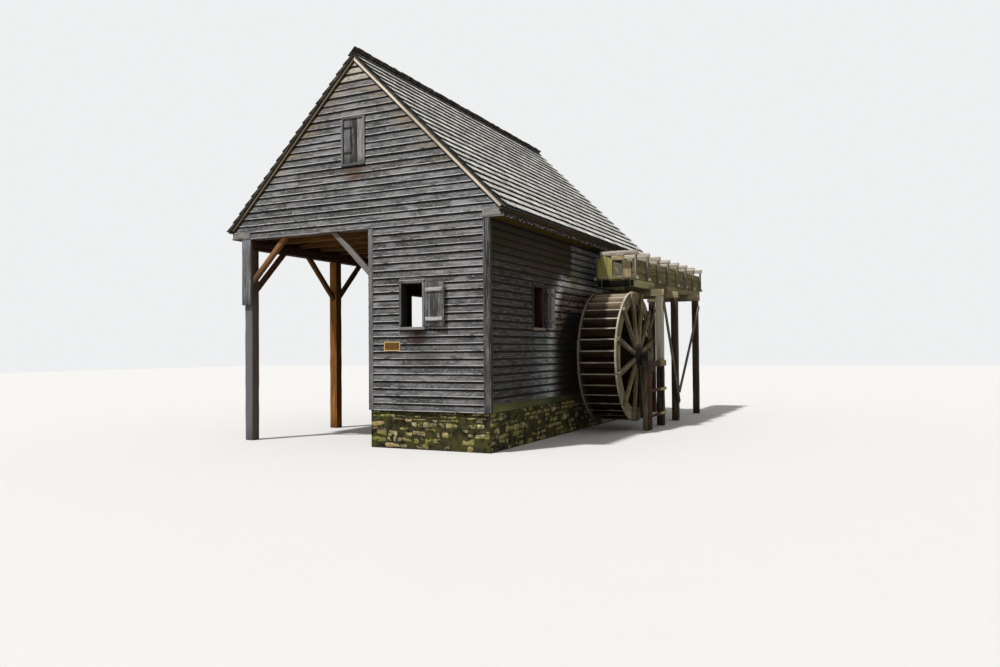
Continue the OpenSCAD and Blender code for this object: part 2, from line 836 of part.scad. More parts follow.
module flume_ties() {
    color("#a49c88") placed() for (i = [0:cleats - 1])
        run_block(trough_x0 - cleat_t - tie_in, trough_x1 + cleat_t + tie_out,
            cleat_y(i), cleat_y(i) + cleat_w, tie_up, tie_up + tie_t);
}

stone_foundation();
room_floor();
front_wall();
right_wall();
back_wall();
bay_wall_front();
bay_wall_back();
bay_wall_lintel();
front_gable();
back_gable();
left_knee_wall();
corner_boards();
bay_posts();
bay_plate();
knee_braces();
ceiling_joists();
loft_floor();
left_roof();
right_roof();
ridge_comb();
rake_boards();
eave_boxes();
window_frames();
loft_frames();
room_shutters();
loft_shutters();
plaque();
inner_rim();
outer_rim();
wheel_arms();
wheel_buckets();
wheel_sole();
wheel_hub();
hub_plates();
axle();
wall_bearing();
outer_bearing();
bearing_frame();
trestle_posts();
trestle_caps();
trestle_braces();
flume_stringers();
flume_floor();
flume_sides();
flume_cleats();
flume_ties();
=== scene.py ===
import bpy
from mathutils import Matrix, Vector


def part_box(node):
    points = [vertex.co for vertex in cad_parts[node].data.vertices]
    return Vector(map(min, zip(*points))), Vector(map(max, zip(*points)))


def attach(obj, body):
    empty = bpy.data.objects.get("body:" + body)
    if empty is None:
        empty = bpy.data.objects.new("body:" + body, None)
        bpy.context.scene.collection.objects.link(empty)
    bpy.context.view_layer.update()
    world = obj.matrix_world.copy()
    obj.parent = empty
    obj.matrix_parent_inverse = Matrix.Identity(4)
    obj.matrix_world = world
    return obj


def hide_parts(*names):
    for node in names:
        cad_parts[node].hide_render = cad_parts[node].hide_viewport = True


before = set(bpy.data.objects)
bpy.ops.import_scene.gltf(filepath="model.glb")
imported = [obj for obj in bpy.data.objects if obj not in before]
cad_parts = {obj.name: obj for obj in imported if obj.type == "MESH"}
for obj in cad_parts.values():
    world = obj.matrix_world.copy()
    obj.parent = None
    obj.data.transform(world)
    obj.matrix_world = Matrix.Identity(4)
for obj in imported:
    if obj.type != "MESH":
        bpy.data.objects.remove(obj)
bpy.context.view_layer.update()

import math
from types import SimpleNamespace

import bpy
import numpy as np
from mathutils import Matrix, Vector

chance = np.random.default_rng(41)      # every random draw comes from here, in this order
axisX, axisY, axisZ = 0, 1, 2


def spans(node):
    # The box of a CAD node as three pairs of low and high: its x, its y and its z
    return list(zip(*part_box(node)))


def low(node, axis):
    # A node's lowest coordinate along an axis
    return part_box(node)[0][axis]


def high(node, axis):
    # A node's highest coordinate along an axis
    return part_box(node)[1][axis]


def nodePoints(node):
    # All corners of a CAD node as one array, in metres
    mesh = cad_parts[node].data
    points = np.empty(len(mesh.vertices) * 3)
    mesh.vertices.foreach_get("co", points)
    return points.reshape(-1, 3)


def levels(node, axis):
    # The different coordinates that a node's corners have along one axis, from low to high
    values = np.sort(nodePoints(node)[:, axis])
    return values[np.concatenate([[True], np.diff(values) > 0.0006])]


def stacked(*parts):
    # Arrays of x, y and z brought to one shape and joined to an array of points
    return np.stack(np.broadcast_arrays(*parts), -1)


(left, right), (front, _), (head, apex) = spans("front_gable")      # head is the gables' lower edge
back, bay = high("back_gable", axisY), low("front_wall", axisX)
stoneTop, soffit, middle = low("front_wall", axisZ), low("eave_boxes", axisZ), (left + right) / 2
gablePoints = nodePoints("front_gable")
eave = float(gablePoints[np.abs(gablePoints[:, axisX] - left) < 0.001, axisZ].max())
slope = (apex - eave) / (right - middle)
axleY, axleZ = (sum(pair) / 2 for pair in spans("axle")[1:])
print("frame read: ridge underside at", round(apex, 3), "m")


def wander(along, length, waves=4, fade=0.62):
    # Wavy line from -1 to 1 for each board: the sum of sines whose lengths and phases are drawn for that board
    total, weight = np.zeros_like(along), 0.0
    for step in range(waves):
        share = fade ** step
        waveLength = length * share * chance.uniform(0.7, 1.3, (len(along), 1))
        phase = chance.uniform(0, 2 * np.pi, (len(along), 1))
        total += share * np.sin(2 * np.pi * along / waveLength + phase)
        weight += share
    return total / weight


def loftShell(points, grain, tone):
    # Closed shells: points[k, n, m] is ring n of shell k, joined ring to ring, with a flat cap on both ends
    count, stations, around = points.shape[:3]
    index = np.arange(count * stations * around).reshape(count, stations, around)
    nextRing = np.roll(index, -1, axis=2)
    quads = np.stack([index[:, :-1], nextRing[:, :-1], nextRing[:, 1:], index[:, 1:]], -1)
    caps = np.stack([index[:, 0, ::-1], index[:, -1]], 1)
    # A shell whose rings run the other way round is turned, by the sign of its volume
    centre = points.mean((1, 2), keepdims=True)
    a, b, c = (points.reshape(-1, 3)[quads[..., i]] - centre for i in (0, 1, 2))
    inward = np.einsum("...i,...i", np.cross(a, b), c).sum((1, 2)) < 0
    quads[inward] = quads[inward][..., ::-1]
    caps[inward] = caps[inward][..., ::-1]
    toneAll = np.broadcast_to(tone[:, None, None, :], points.shape) if tone.ndim == 2 else tone
    return {"points": points.reshape(-1, 3), "quads": quads.reshape(-1, 4), "caps": caps.reshape(-1, around),
            "grain": grain.reshape(-1, 3), "tone": toneAll.reshape(-1, 3)}


sharpAngle = math.radians(38)      # an edge with a sharper bend isn't shaded round


def makePiece(name, slotName, finish, shells, replaces=(), body="mill"):
    # One mesh from several sets of shells, with the grain place and the tone of each board kept on its corners
    points, grain, tone = (np.concatenate([shell[key] for shell in shells]) for key in ("points", "grain", "tone"))
    loops, sizes, start = [], [], 0
    for shell in shells:
        for faces in (shell["quads"], shell["caps"]):
            loops.append((faces + start).ravel())
            sizes.append(np.full(len(faces), faces.shape[1]))
        start += len(shell["points"])
    loops, sizes = np.concatenate(loops), np.concatenate(sizes)
    mesh = bpy.data.meshes.new(name)
    mesh.vertices.add(len(points))
    mesh.vertices.foreach_set("co", points.astype(np.float32).ravel())
    mesh.loops.add(len(loops))
    mesh.loops.foreach_set("vertex_index", loops.astype(np.int32))
    mesh.polygons.add(len(sizes))
    mesh.polygons.foreach_set("loop_start", np.concatenate([[0], np.cumsum(sizes)[:-1]]).astype(np.int32))
    mesh.update(calc_edges=True)
    for label, values in (("grain", grain), ("tone", tone)):
        layer = mesh.attributes.new(label, "FLOAT_VECTOR", "POINT")
        layer.data.foreach_set("vector", values.astype(np.float32).ravel())
    mesh.polygons.foreach_set("use_smooth", np.ones(len(sizes), bool))
    mesh.set_sharp_from_angle(angle=sharpAngle)
    mesh.materials.append(finishes[finish])
    piece = bpy.data.objects.new(name, mesh)
    bpy.context.scene.collection.objects.link(piece)
    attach(piece, body)
    if replaces:
        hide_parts(*replaces)


def boardTones(count, spread=1.0):
    # Brightness, warmth and age of each board, each from 0 to 1 around a half
    return np.clip(0.5 + spread * chance.normal(0, 0.22, (count, 3)), 0, 1)


def shifted(grain):
    # The grain places of a set of boards, moved by a draw for each board so that no two have the same grain
    return grain + chance.uniform(-9, 9, (len(grain), 1, 1, 3))


def trilinear(corners):
    # Place inside a six-sided block: s runs along it, u and v across it
    def place(s, u, v):
        result = 0
        for i, j, k in np.ndindex(2, 2, 2):
            weight = (s if i else 1 - s) * (u if j else 1 - u) * (v if k else 1 - v)
            result = result + weight[..., None] * corners[:, i, j, k][:, None, None, :]
        return result
    return place


def aroundAxle(radius, angle):
    # The y and z of a place at a radius and an angle round the axle
    return axleY + radius * np.cos(angle), axleZ + radius * np.sin(angle)


def arcPlace(inner, outer, start, end, x):
    # Place in a piece of a ring round the axle: s runs round it from start to end, u outwards, v along the axle
    def place(s, u, v):
        angle = start[:, None, None] + s * (end - start)[:, None, None]
        return stacked(x[0] + v * (x[1] - x[0]), *aroundAxle(inner + u * (outer - inner), angle))
    return place


def wornShell(place, size, style, tone=None):
    # A board: a ring with rounded corners and uneven flats is carried along s, and drawn in at both ends.
    # Everything uneven goes inwards, so the board stays inside the block that it is made for.
    size = np.asarray(size, float)
    length, width, depth = (size[:, i, None] for i in range(3))
    edge = np.minimum(style["edge"], 0.3 * np.minimum(width, depth))
    inner = np.linspace(0, 1, style["stations"])[None, :]
    endShare = np.minimum(edge / length, 0.2)
    ends = np.zeros((len(size), 1))
    s = np.concatenate([ends, endShare + inner * (1 - 2 * endShare), ends + 1], 1)
    drawn = np.zeros_like(s)
    drawn[:, [0, -1]] = 0.7
    worn = edge * np.clip(1 + style["wear"] * wander(s * length, style.get("wave", 0.5)), 0.35, 2.2)
    # Each corner has its u, its v and the angle at which its quarter turn starts
    corners = [(0, 0, 180), (1, 0, 270), (1, 1, 0), (0, 1, 90)]
    turn = np.radians(np.linspace(0, 90, style["corner"]))
    ringU, ringV = [], []
    for number, (cu, cv, first) in enumerate(corners):
        for t in turn + math.radians(first):
            ringU.append((cu + (1 - 2 * cu) * worn / width) + worn / width * np.cos(t))
            ringV.append((cv + (1 - 2 * cv) * worn / depth) + worn / depth * np.sin(t))
        nextU, nextV, _ = corners[(number + 1) % 4]
        ringU.append(np.full_like(s, (cu + nextU) / 2))
        ringV.append(np.full_like(s, (cv + nextV) / 2))
    u, v = np.stack(ringU, 2), np.stack(ringV, 2)
    hollow = chance.uniform(0, 1, u.shape) ** 2 * style["rough"] + (drawn * edge)[:, :, None]
    u = 0.5 + (u - 0.5) * (1 - 2 * hollow / width[:, :, None])
    v = 0.5 + (v - 0.5) * (1 - 2 * hollow / depth[:, :, None])
    s = np.broadcast_to(s[:, :, None], u.shape)
    grain = shifted(np.stack([s * length[:, :, None], u * width[:, :, None], v * depth[:, :, None]], -1))
    return loftShell(place(s, u, v), grain, boardTones(len(size)) if tone is None else tone)


def boards(corners, style, tone=None):
    # Worn boards in six-sided blocks, whose length, width and depth are the means of their sides
    corners = np.asarray(corners, float)
    sides = [np.linalg.norm(corners.take(1, axis) - corners.take(0, axis), axis=-1).mean((1, 2))
             for axis in (1, 2, 3)]
    return wornShell(trilinear(corners), np.stack(sides, 1), style, tone)


def eight(place, first, second, third):
    # The eight corners of a block: place(a, b, c) at both ends of its length and of its two other sides
    return np.array([[[place(a, b, c) for c in third] for b in second] for a in first], float)


def block(x, y, z, along=axisX, fall=0.0, fallFrom=0.0):
    # The eight corners of a box with its length along one axis; fall lifts it by so much for each metre of Y
    corners = np.moveaxis(np.stack(np.meshgrid(x, y, z, indexing="ij"), -1), along, 0)
    corners[..., 2] += fall * (corners[..., 1] - fallFrom)
    return corners


# How planks are cut: how uneven their widths are, and their lengths, all as shares of the given ones
cutting = {"uneven": 0.08, "first": (0.3, 1.0), "next": (0.75, 1.2), "last": 0.4}


def planks(x, y, z, along, across, width, gap=0.004, lengths=None, **run):
    # A box cut into boards side by side, and into pieces of about the given length end to end
    box = [x, y, z]
    number = max(1, round((box[across][1] - box[across][0]) / width))
    cuts = np.linspace(*box[across], number + 1)
    cuts[1:-1] += chance.uniform(-cutting["uneven"], cutting["uneven"], number - 1) * width
    result = []
    for a, b in zip(cuts[:-1], cuts[1:]):
        start, end = box[along]
        marks = [start, end]
        if lengths:
            at = start + lengths * chance.uniform(*cutting["first"])
            while at < end - cutting["last"] * lengths:
                marks.append(at)
                at += lengths * chance.uniform(*cutting["next"])
        marks.sort()
        for p, q in zip(marks[:-1], marks[1:]):
            sides = list(box)
            sides[across] = (a + gap / 2, b - gap / 2)
            sides[along] = (p + (gap / 2 if p > start else 0), q - (gap / 2 if q < end else 0))
            result.append(block(*sides, along, **run))
    return result


def nodeBlocks(node):
    # The six-sided solids of a CAD node: corners[s, u, v], with s along the solid's length
    unique, inverse = np.unique(np.round(nodePoints(node), 5), axis=0, return_inverse=True)
    inverse = inverse.ravel()
    faces = np.array([[inverse[v] for v in polygon.vertices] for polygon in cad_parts[node].data.polygons])
    # Corners that share a face get the lowest of their labels, until each solid has one label
    label, before = np.arange(len(unique)), None
    while before is None or (before != label).any():
        lowest, before = label[faces].min(1), label.copy()
        for column in faces.T:
            np.minimum.at(label, column, lowest)
        label = label[label]
    result = []
    for group in np.unique(label):
        solid = unique[label == group]
        if len(solid) != 8:
            raise ValueError(f"{node} has a solid with {len(solid)} corners")
        # Four corners lie at each end of the longest direction; each four are put in order round it, and matched
        axes = np.linalg.svd(solid - solid.mean(0))[2]
        order = np.argsort((solid - solid.mean(0)) @ axes[0])
        rings, flats = [], []
        for end in (solid[order[:4]], solid[order[4:]]):
            flat = (end - end.mean(0)) @ axes[1:].T
            turn = np.argsort(np.arctan2(flat[:, 1], flat[:, 0]))
            rings.append(end[turn])
            flats.append(flat[turn])
        best = min(range(4), key=lambda r: np.abs(np.roll(flats[1], r, 0) - flats[0]).sum())
        corners = np.empty((2, 2, 2, 3))
        for s, ring in enumerate((rings[0], np.roll(rings[1], best, 0))):
            corners[s, 0, 0], corners[s, 1, 0], corners[s, 1, 1], corners[s, 0, 1] = ring
        result.append(corners)
    return result


def bothEnds(corners):
    # Blocks at the front, and the same ones at the back, mirrored through the building's middle
    mirrored = np.array(corners, float)
    mirrored[..., 1] = front + back - mirrored[..., 1]
    return list(corners) + list(mirrored)


fine = {"stations": 8, "edge": 0.004, "wear": 0.5, "rough": 0.0012, "corner": 2}
heavy = {"stations": 14, "edge": 0.010, "wear": 0.7, "rough": 0.003, "corner": 3, "wave": 0.6}
middling = {"stations": 9, "edge": 0.006, "wear": 0.6, "rough": 0.002, "corner": 3}


shading = {"tree": None}      # the node tree that is being built
finishes = {}                 # every material by its name


class Wire:
    # A value in the node tree: + - * / with numbers or other wires make Math nodes
    def __init__(self, socket):
        self.socket = socket

    __add__ = __radd__ = lambda a, b: maths("ADD", a, b)
    __mul__ = __rmul__ = lambda a, b: maths("MULTIPLY", a, b)
    __sub__ = lambda a, b: maths("SUBTRACT", a, b)
    __rsub__ = lambda a, b: maths("SUBTRACT", b, a)
    __truediv__ = lambda a, b: maths("DIVIDE", a, b)


def put(kind, inputs=None, out=0, **settings):
    # One shader node: inputs holds its sockets, each with a number, a colour or a wire;
    # gives the wire of one output
    tree = shading["tree"]
    node = tree.nodes.new("ShaderNode" + kind)
    for name, value in settings.items():
        setattr(node, name, value)
    for name, value in (inputs or {}).items():
        socket = node.inputs[name]
        if isinstance(value, Wire):
            tree.links.new(value.socket, socket)
        else:
            socket.default_value = (*value, 1.0) if socket.type == "RGBA" else value
    return Wire(node.outputs[out]) if node.outputs else None


def maths(operation, a, b=0.0):
    # One step of arithmetic on two values
    return put("Math", {0: a, 1: b}, operation=operation)


def scaled(vector, scale, shift=(0, 0, 0)):
    # A place times a scale on each axis, plus a shift
    return put("Mapping", {"Vector": vector, "Scale": scale, "Location": shift})


def noise(vector, scale, detail, roughness, shift=(0, 0, 0)):
    # Cloudy noise from 0 to 1; a scale with three numbers stretches it
    if isinstance(scale, tuple):
        vector, scale = scaled(vector, scale, shift), 1.0
    return put("TexNoise", {"Vector": vector, "Scale": scale, "Detail": detail, "Roughness": roughness})


def between(value, start, end):
    # 0 below start, 1 above end, and smooth from one to the other
    return put("MapRange", {"Value": value, "From Min": start, "From Max": end}, interpolation_type="SMOOTHSTEP")


def mix(amount, first, second, mode="MIX"):
    # The first colour, turned into the second by an amount from 0 to 1
    return put("Mix", {0: amount, 6: first, 7: second}, 2, data_type="RGBA", blend_type=mode, clamp_factor=True)


def times(colour, brightness):
    # A colour made darker or lighter
    return put("VectorMath", {0: colour, 3: brightness}, operation="SCALE")


def split(vector):
    # The three values of a vector
    return [Wire(socket) for socket in put("SeparateXYZ", {0: vector}).socket.node.outputs]


def outward(axis):
    # How far a face looks along an axis
    return split(put("NewGeometry", out="Normal"))[axis]


def blob(place, centre, reach, softness):
    # 1 inside an ellipsoid round a point, falling to 0 at its edge
    moved = put("VectorMath", {0: place, 1: centre}, operation="SUBTRACT")
    share = put("VectorMath", {0: moved, 1: reach}, operation="DIVIDE")
    return between(put("VectorMath", {0: share}, "Value", operation="LENGTH"), 1.0, 1.0 - softness)


def startTree(tree):
    # An empty tree, to which every node from here on is added
    tree.nodes.clear()
    shading["tree"] = tree


def startMaterial(name):
    # A new material, whose tree the next nodes go into; gives the place on the object
    finishes[name] = material = bpy.data.materials.new(name)
    material.use_nodes = True
    startTree(material.node_tree)
    return put("TexCoord", out="Object")


def surface(colour, rough, height, strength, depth, specular=0.08, metal=0.0):
    # The material's shader, with a bump of the given strength and depth in metres
    bump = put("Bump", {"Height": height, "Strength": strength, "Distance": depth})
    put("OutputMaterial", {"Surface": put("BsdfPrincipled", {
        "Base Color": colour, "Roughness": rough, "Normal": bump,
        "Specular IOR Level": specular, "Metallic": metal})})


def wood(name, lookName, layers=(), **changes):
    # Weathered wood: long fibres, wider streaks and bands, thin cracks, bleached flecks and a few knots,
    # all along the board's grain
    look = {**looks[lookName], **changes}
    place = startMaterial(name)
    if look["grain"]:
        # A CAD node has no grain of its own: its length is turned into the first axis
        grain = put("Mapping", {"Vector": place, "Rotation": (0, 0, {"x": 0, "y": math.pi / 2}[look["grain"]])})
        tone = split(put("CombineXYZ", {0: 0.5, 1: 0.5, 2: 0.5}))
    else:
        grain = put("Attribute", out="Vector", attribute_name="grain")
        tone = split(put("Attribute", out="Vector", attribute_name="tone"))
    fibre = noise(grain, (2.6, 90, 90), 5.0, 0.65)
    streak = noise(grain, look["streak"], 4.0, 0.62, (1.7, 4.3, 2.9))
    band = noise(grain, look["band"], 3.0, 0.6, (5.1, 0.4, 6.6))
    patch = noise(place, look["patchScale"], 4.0, 0.62)
    crackLine = noise(grain, (1.1, 42, 42), 2.0, 0.5, (3.1, 7.7, 1.3))
    crack = between(maths("ABSOLUTE", crackLine - 0.5), 0.016, 0.002) * between(streak, 0.38, 0.62)
    knot = between(put("TexVoronoi", {"Vector": scaled(grain, (1.9, 6.5, 6.5)), "Scale": 1.0}, "Distance"), 0.13, 0.05)
    colour = mix(between(fibre * 0.3 + streak * 0.4 + band * 0.3, *look["ramp"]), look["dark"], look["light"])
    colour = mix(between(patch, 0.42, 0.66) * look["patchy"], colour, look["patch"])
    # Each board is a little lighter or darker, and a little browner, than the next
    warm = between(tone[1], 0.45, 1.0) * look["warmth"]
    colour = mix(warm, colour, mix(1.0, colour, look["warm"], "MULTIPLY"))
    colour = times(colour, tone[0] * look["spread"] + (1 - look["spread"] / 2))
    if look["fleck"]:
        fleck = noise(grain, look["fleckScale"], 3.0, 0.6, (8.2, 2.6, 3.4))
        colour = mix(between(fleck, 0.56, 0.68) * look["flecks"], colour, look["fleck"])
    colour = mix(knot * 0.55, colour, look["crack"])
    colour = mix(crack * 0.85, colour, look["crack"])
    kit = SimpleNamespace(place=place, tone=tone, fibre=fibre, streak=streak, patch=patch, band=band)
    for layer in layers:
        colour = layer(kit, colour)
    surface(colour, fibre * 0.25 + look["rough"], fibre * 0.45 - crack * 0.8, 0.6, 0.004)


# A layer is a function of the wood's kit of patterns and the colour under it, and gives the new colour

def stainAndShadeBlob(centre, reach, colour, strength):
    # Dyes the wood round a point, broken up by the grain; the same blob also paints shade where it is put under the
    # window
    return lambda kit, base: mix(
        blob(kit.place, centre, reach, 0.9) * between(kit.streak, 0.25, 0.6) * strength, base, colour)


def moss(strength, colour, scale, upward):
    # Moss in patches, more of it on faces that look up
    return lambda kit, base: mix(between(noise(kit.place, scale, 5.0, 0.7), 0.40, 0.62) * (
        between(outward(axisZ), 0.0, 0.8) * upward + (1 - upward)) * strength, base, colour)


def markedEdgeTint(strength, colour):
    # Colours what the third tone value marks: bleaches a board's lower edge and the battens, pales the wheel's edges
    # partly as a painted highlight, and paints the shingles' butts dark as shade
    return lambda kit, base: mix(kit.tone[2] * between(kit.fibre, 0.3, 0.6) * strength, base, colour)


def buttEdgeBleachAndHighlight(pale, strength):
    # For courses, whose mark is 1 at the butt and 0 at the next course's butt: the lower edge is lightened, partly
    # bleached wear and partly a painted highlight where the worn edge catches the light
    return lambda kit, base: mix(between(kit.tone[2], 0.86, 0.93) * between(
        kit.streak + kit.fibre * 0.5, 0.55, 0.78) * strength, base, pale)


def bleached(strength):
    # Cloudy patches that the sun has bleached, wider along the boards than across them
    return lambda kit, base: mix(between(noise(kit.place, (1.7, 1.7, 5.0), 3.0, 0.6, (4.4, 1.9, 7.3)), 0.50, 0.68)
                                 * between(kit.fibre, 0.25, 0.6) * strength, base, (0.40, 0.40, 0.41))


def paintedShadeAndGrime(strength, colour=(0.0055, 0.005, 0.005), bend=-0.20, start=0.37, end=0.24):
    # For courses: painted shade with some dirt: each board is nearly black under the butt above it, where the butt's
    # shadow falls, along a line that the streaks bend
    return lambda kit, base: mix(between(kit.tone[2] + (kit.streak - 0.5) * bend, start, end) * strength, base, colour)


def within(kit, amount, limits):
    # An amount kept to limits, such as x=(a, b): none of it at a and all of it at b, and so for each further pair
    for letter, marks in limits.items():
        for start, end in zip(marks[::2], marks[1::2]):
            amount = between(split(kit.place)["xyz".index(letter)], start, end) * amount
    return amount


def facing(side, colour, strength, even=False, **limits):
    # Colours the faces that look along an axis, or against it as in "-y"
    def layer(kit, base):
        sign = -1 if side[0] == "-" else 1
        amount = within(kit, between(outward("xyz".index(side[-1])), 0.35 * sign, 0.8 * sign) * strength, limits)
        return mix(amount if even else amount * (between(kit.streak, 0.35, 0.6) * 0.55 + 0.45), base, colour)
    return layer


def zone(colour, strength, mode="MIX", even=False, **limits):
    # Colours all faces inside the limits
    def layer(kit, base):
        amount = within(kit, strength, limits)
        return mix(amount if even else amount * (between(kit.band, 0.35, 0.6) * 0.6 + 0.4), base, colour, mode)
    return layer


def belowRoof(kit):
    # How far a place lies under the roof's slopes, measured straight down: apex - z - slope * |x - middle|;
    # and whether it lies right of the middle
    x, _, z = split(kit.place)
    return apex - z - maths("ABSOLUTE", x - middle) * slope, between(x - middle, -0.01, 0.01)


def rakeShadedEdges(kit, base):
    # The sloping boards are painted dark along both edges as shade, which leaves a cream line, narrow on the left slope
    # and wide on the right; the left slope's board is also painted darker all over as shade
    below, onRight = belowRoof(kit)
    start, stop = 0.026 - onRight * 0.016, 0.058 + onRight * 0.016
    line = between(below - start, -0.004, 0.004) * between(stop - below, -0.004, 0.004)
    colour = mix(1.0 - onRight, base, (0.42, 0.37, 0.30), "MULTIPLY")
    return mix(1.0 - line, colour, (0.050, 0.032, 0.017))


def rakeTint(kit, base):
    # Some boards are dry and brown near the roof's edge, the courses in the peak are pale,
    # and a painted shadow with some dirt lines the underside of the sloping boards
    below, onRight = belowRoof(kit)
    z, streak = split(kit.place)[axisZ], kit.streak
    near = between(below + kit.patch * -0.5, 0.32, -0.10) * between(z, eave + 0.3, eave + 0.9)
    some = (between(kit.tone[1], 0.45, 0.62) * 0.75 + 0.25) * between(streak, 0.36, 0.55)
    colour = mix(near * some * 0.85, base, (0.31, 0.235, 0.15))
    upper = between(z, apex - 1.1, apex - 0.35) * between(kit.band, 0.42, 0.58)
    colour = mix(upper * 0.55, colour, (0.36, 0.31, 0.235))
    peak = between(z, apex - 0.43, apex - 0.39) * between(streak, 0.34, 0.52)
    colour = mix(peak * 0.85, colour, (0.62, 0.56, 0.46))
    # Painted shadow with some dirt: a dark band just under the sloping boards
    return mix(between(below + onRight * 0.018, 0.150, 0.112) * 0.85, colour, (0.024, 0.013, 0.007))


def woodLook(dark, light, patch, warm, crack, spread, warmth=0.5, fleck=None, flecks=0.6, **more):
    # Colours from dark to light and in patches, what warm boards are multiplied by, cracks, and how far boards differ
    # in brightness and in warmth; then the bleached flecks, and what differs from the usual scales
    return {"dark": dark, "light": light, "patch": patch, "warm": warm, "crack": crack,
            "spread": spread, "warmth": warmth, "fleck": fleck, "flecks": flecks,
            "ramp": (0.41, 0.60), "patchy": 0.75, "rough": 0.68, "grain": None,
            "streak": (2.0, 26, 26), "band": (0.6, 7, 7), "patchScale": (1.6, 1.6, 1.6),
            "fleckScale": (6.0, 48, 48), **more}


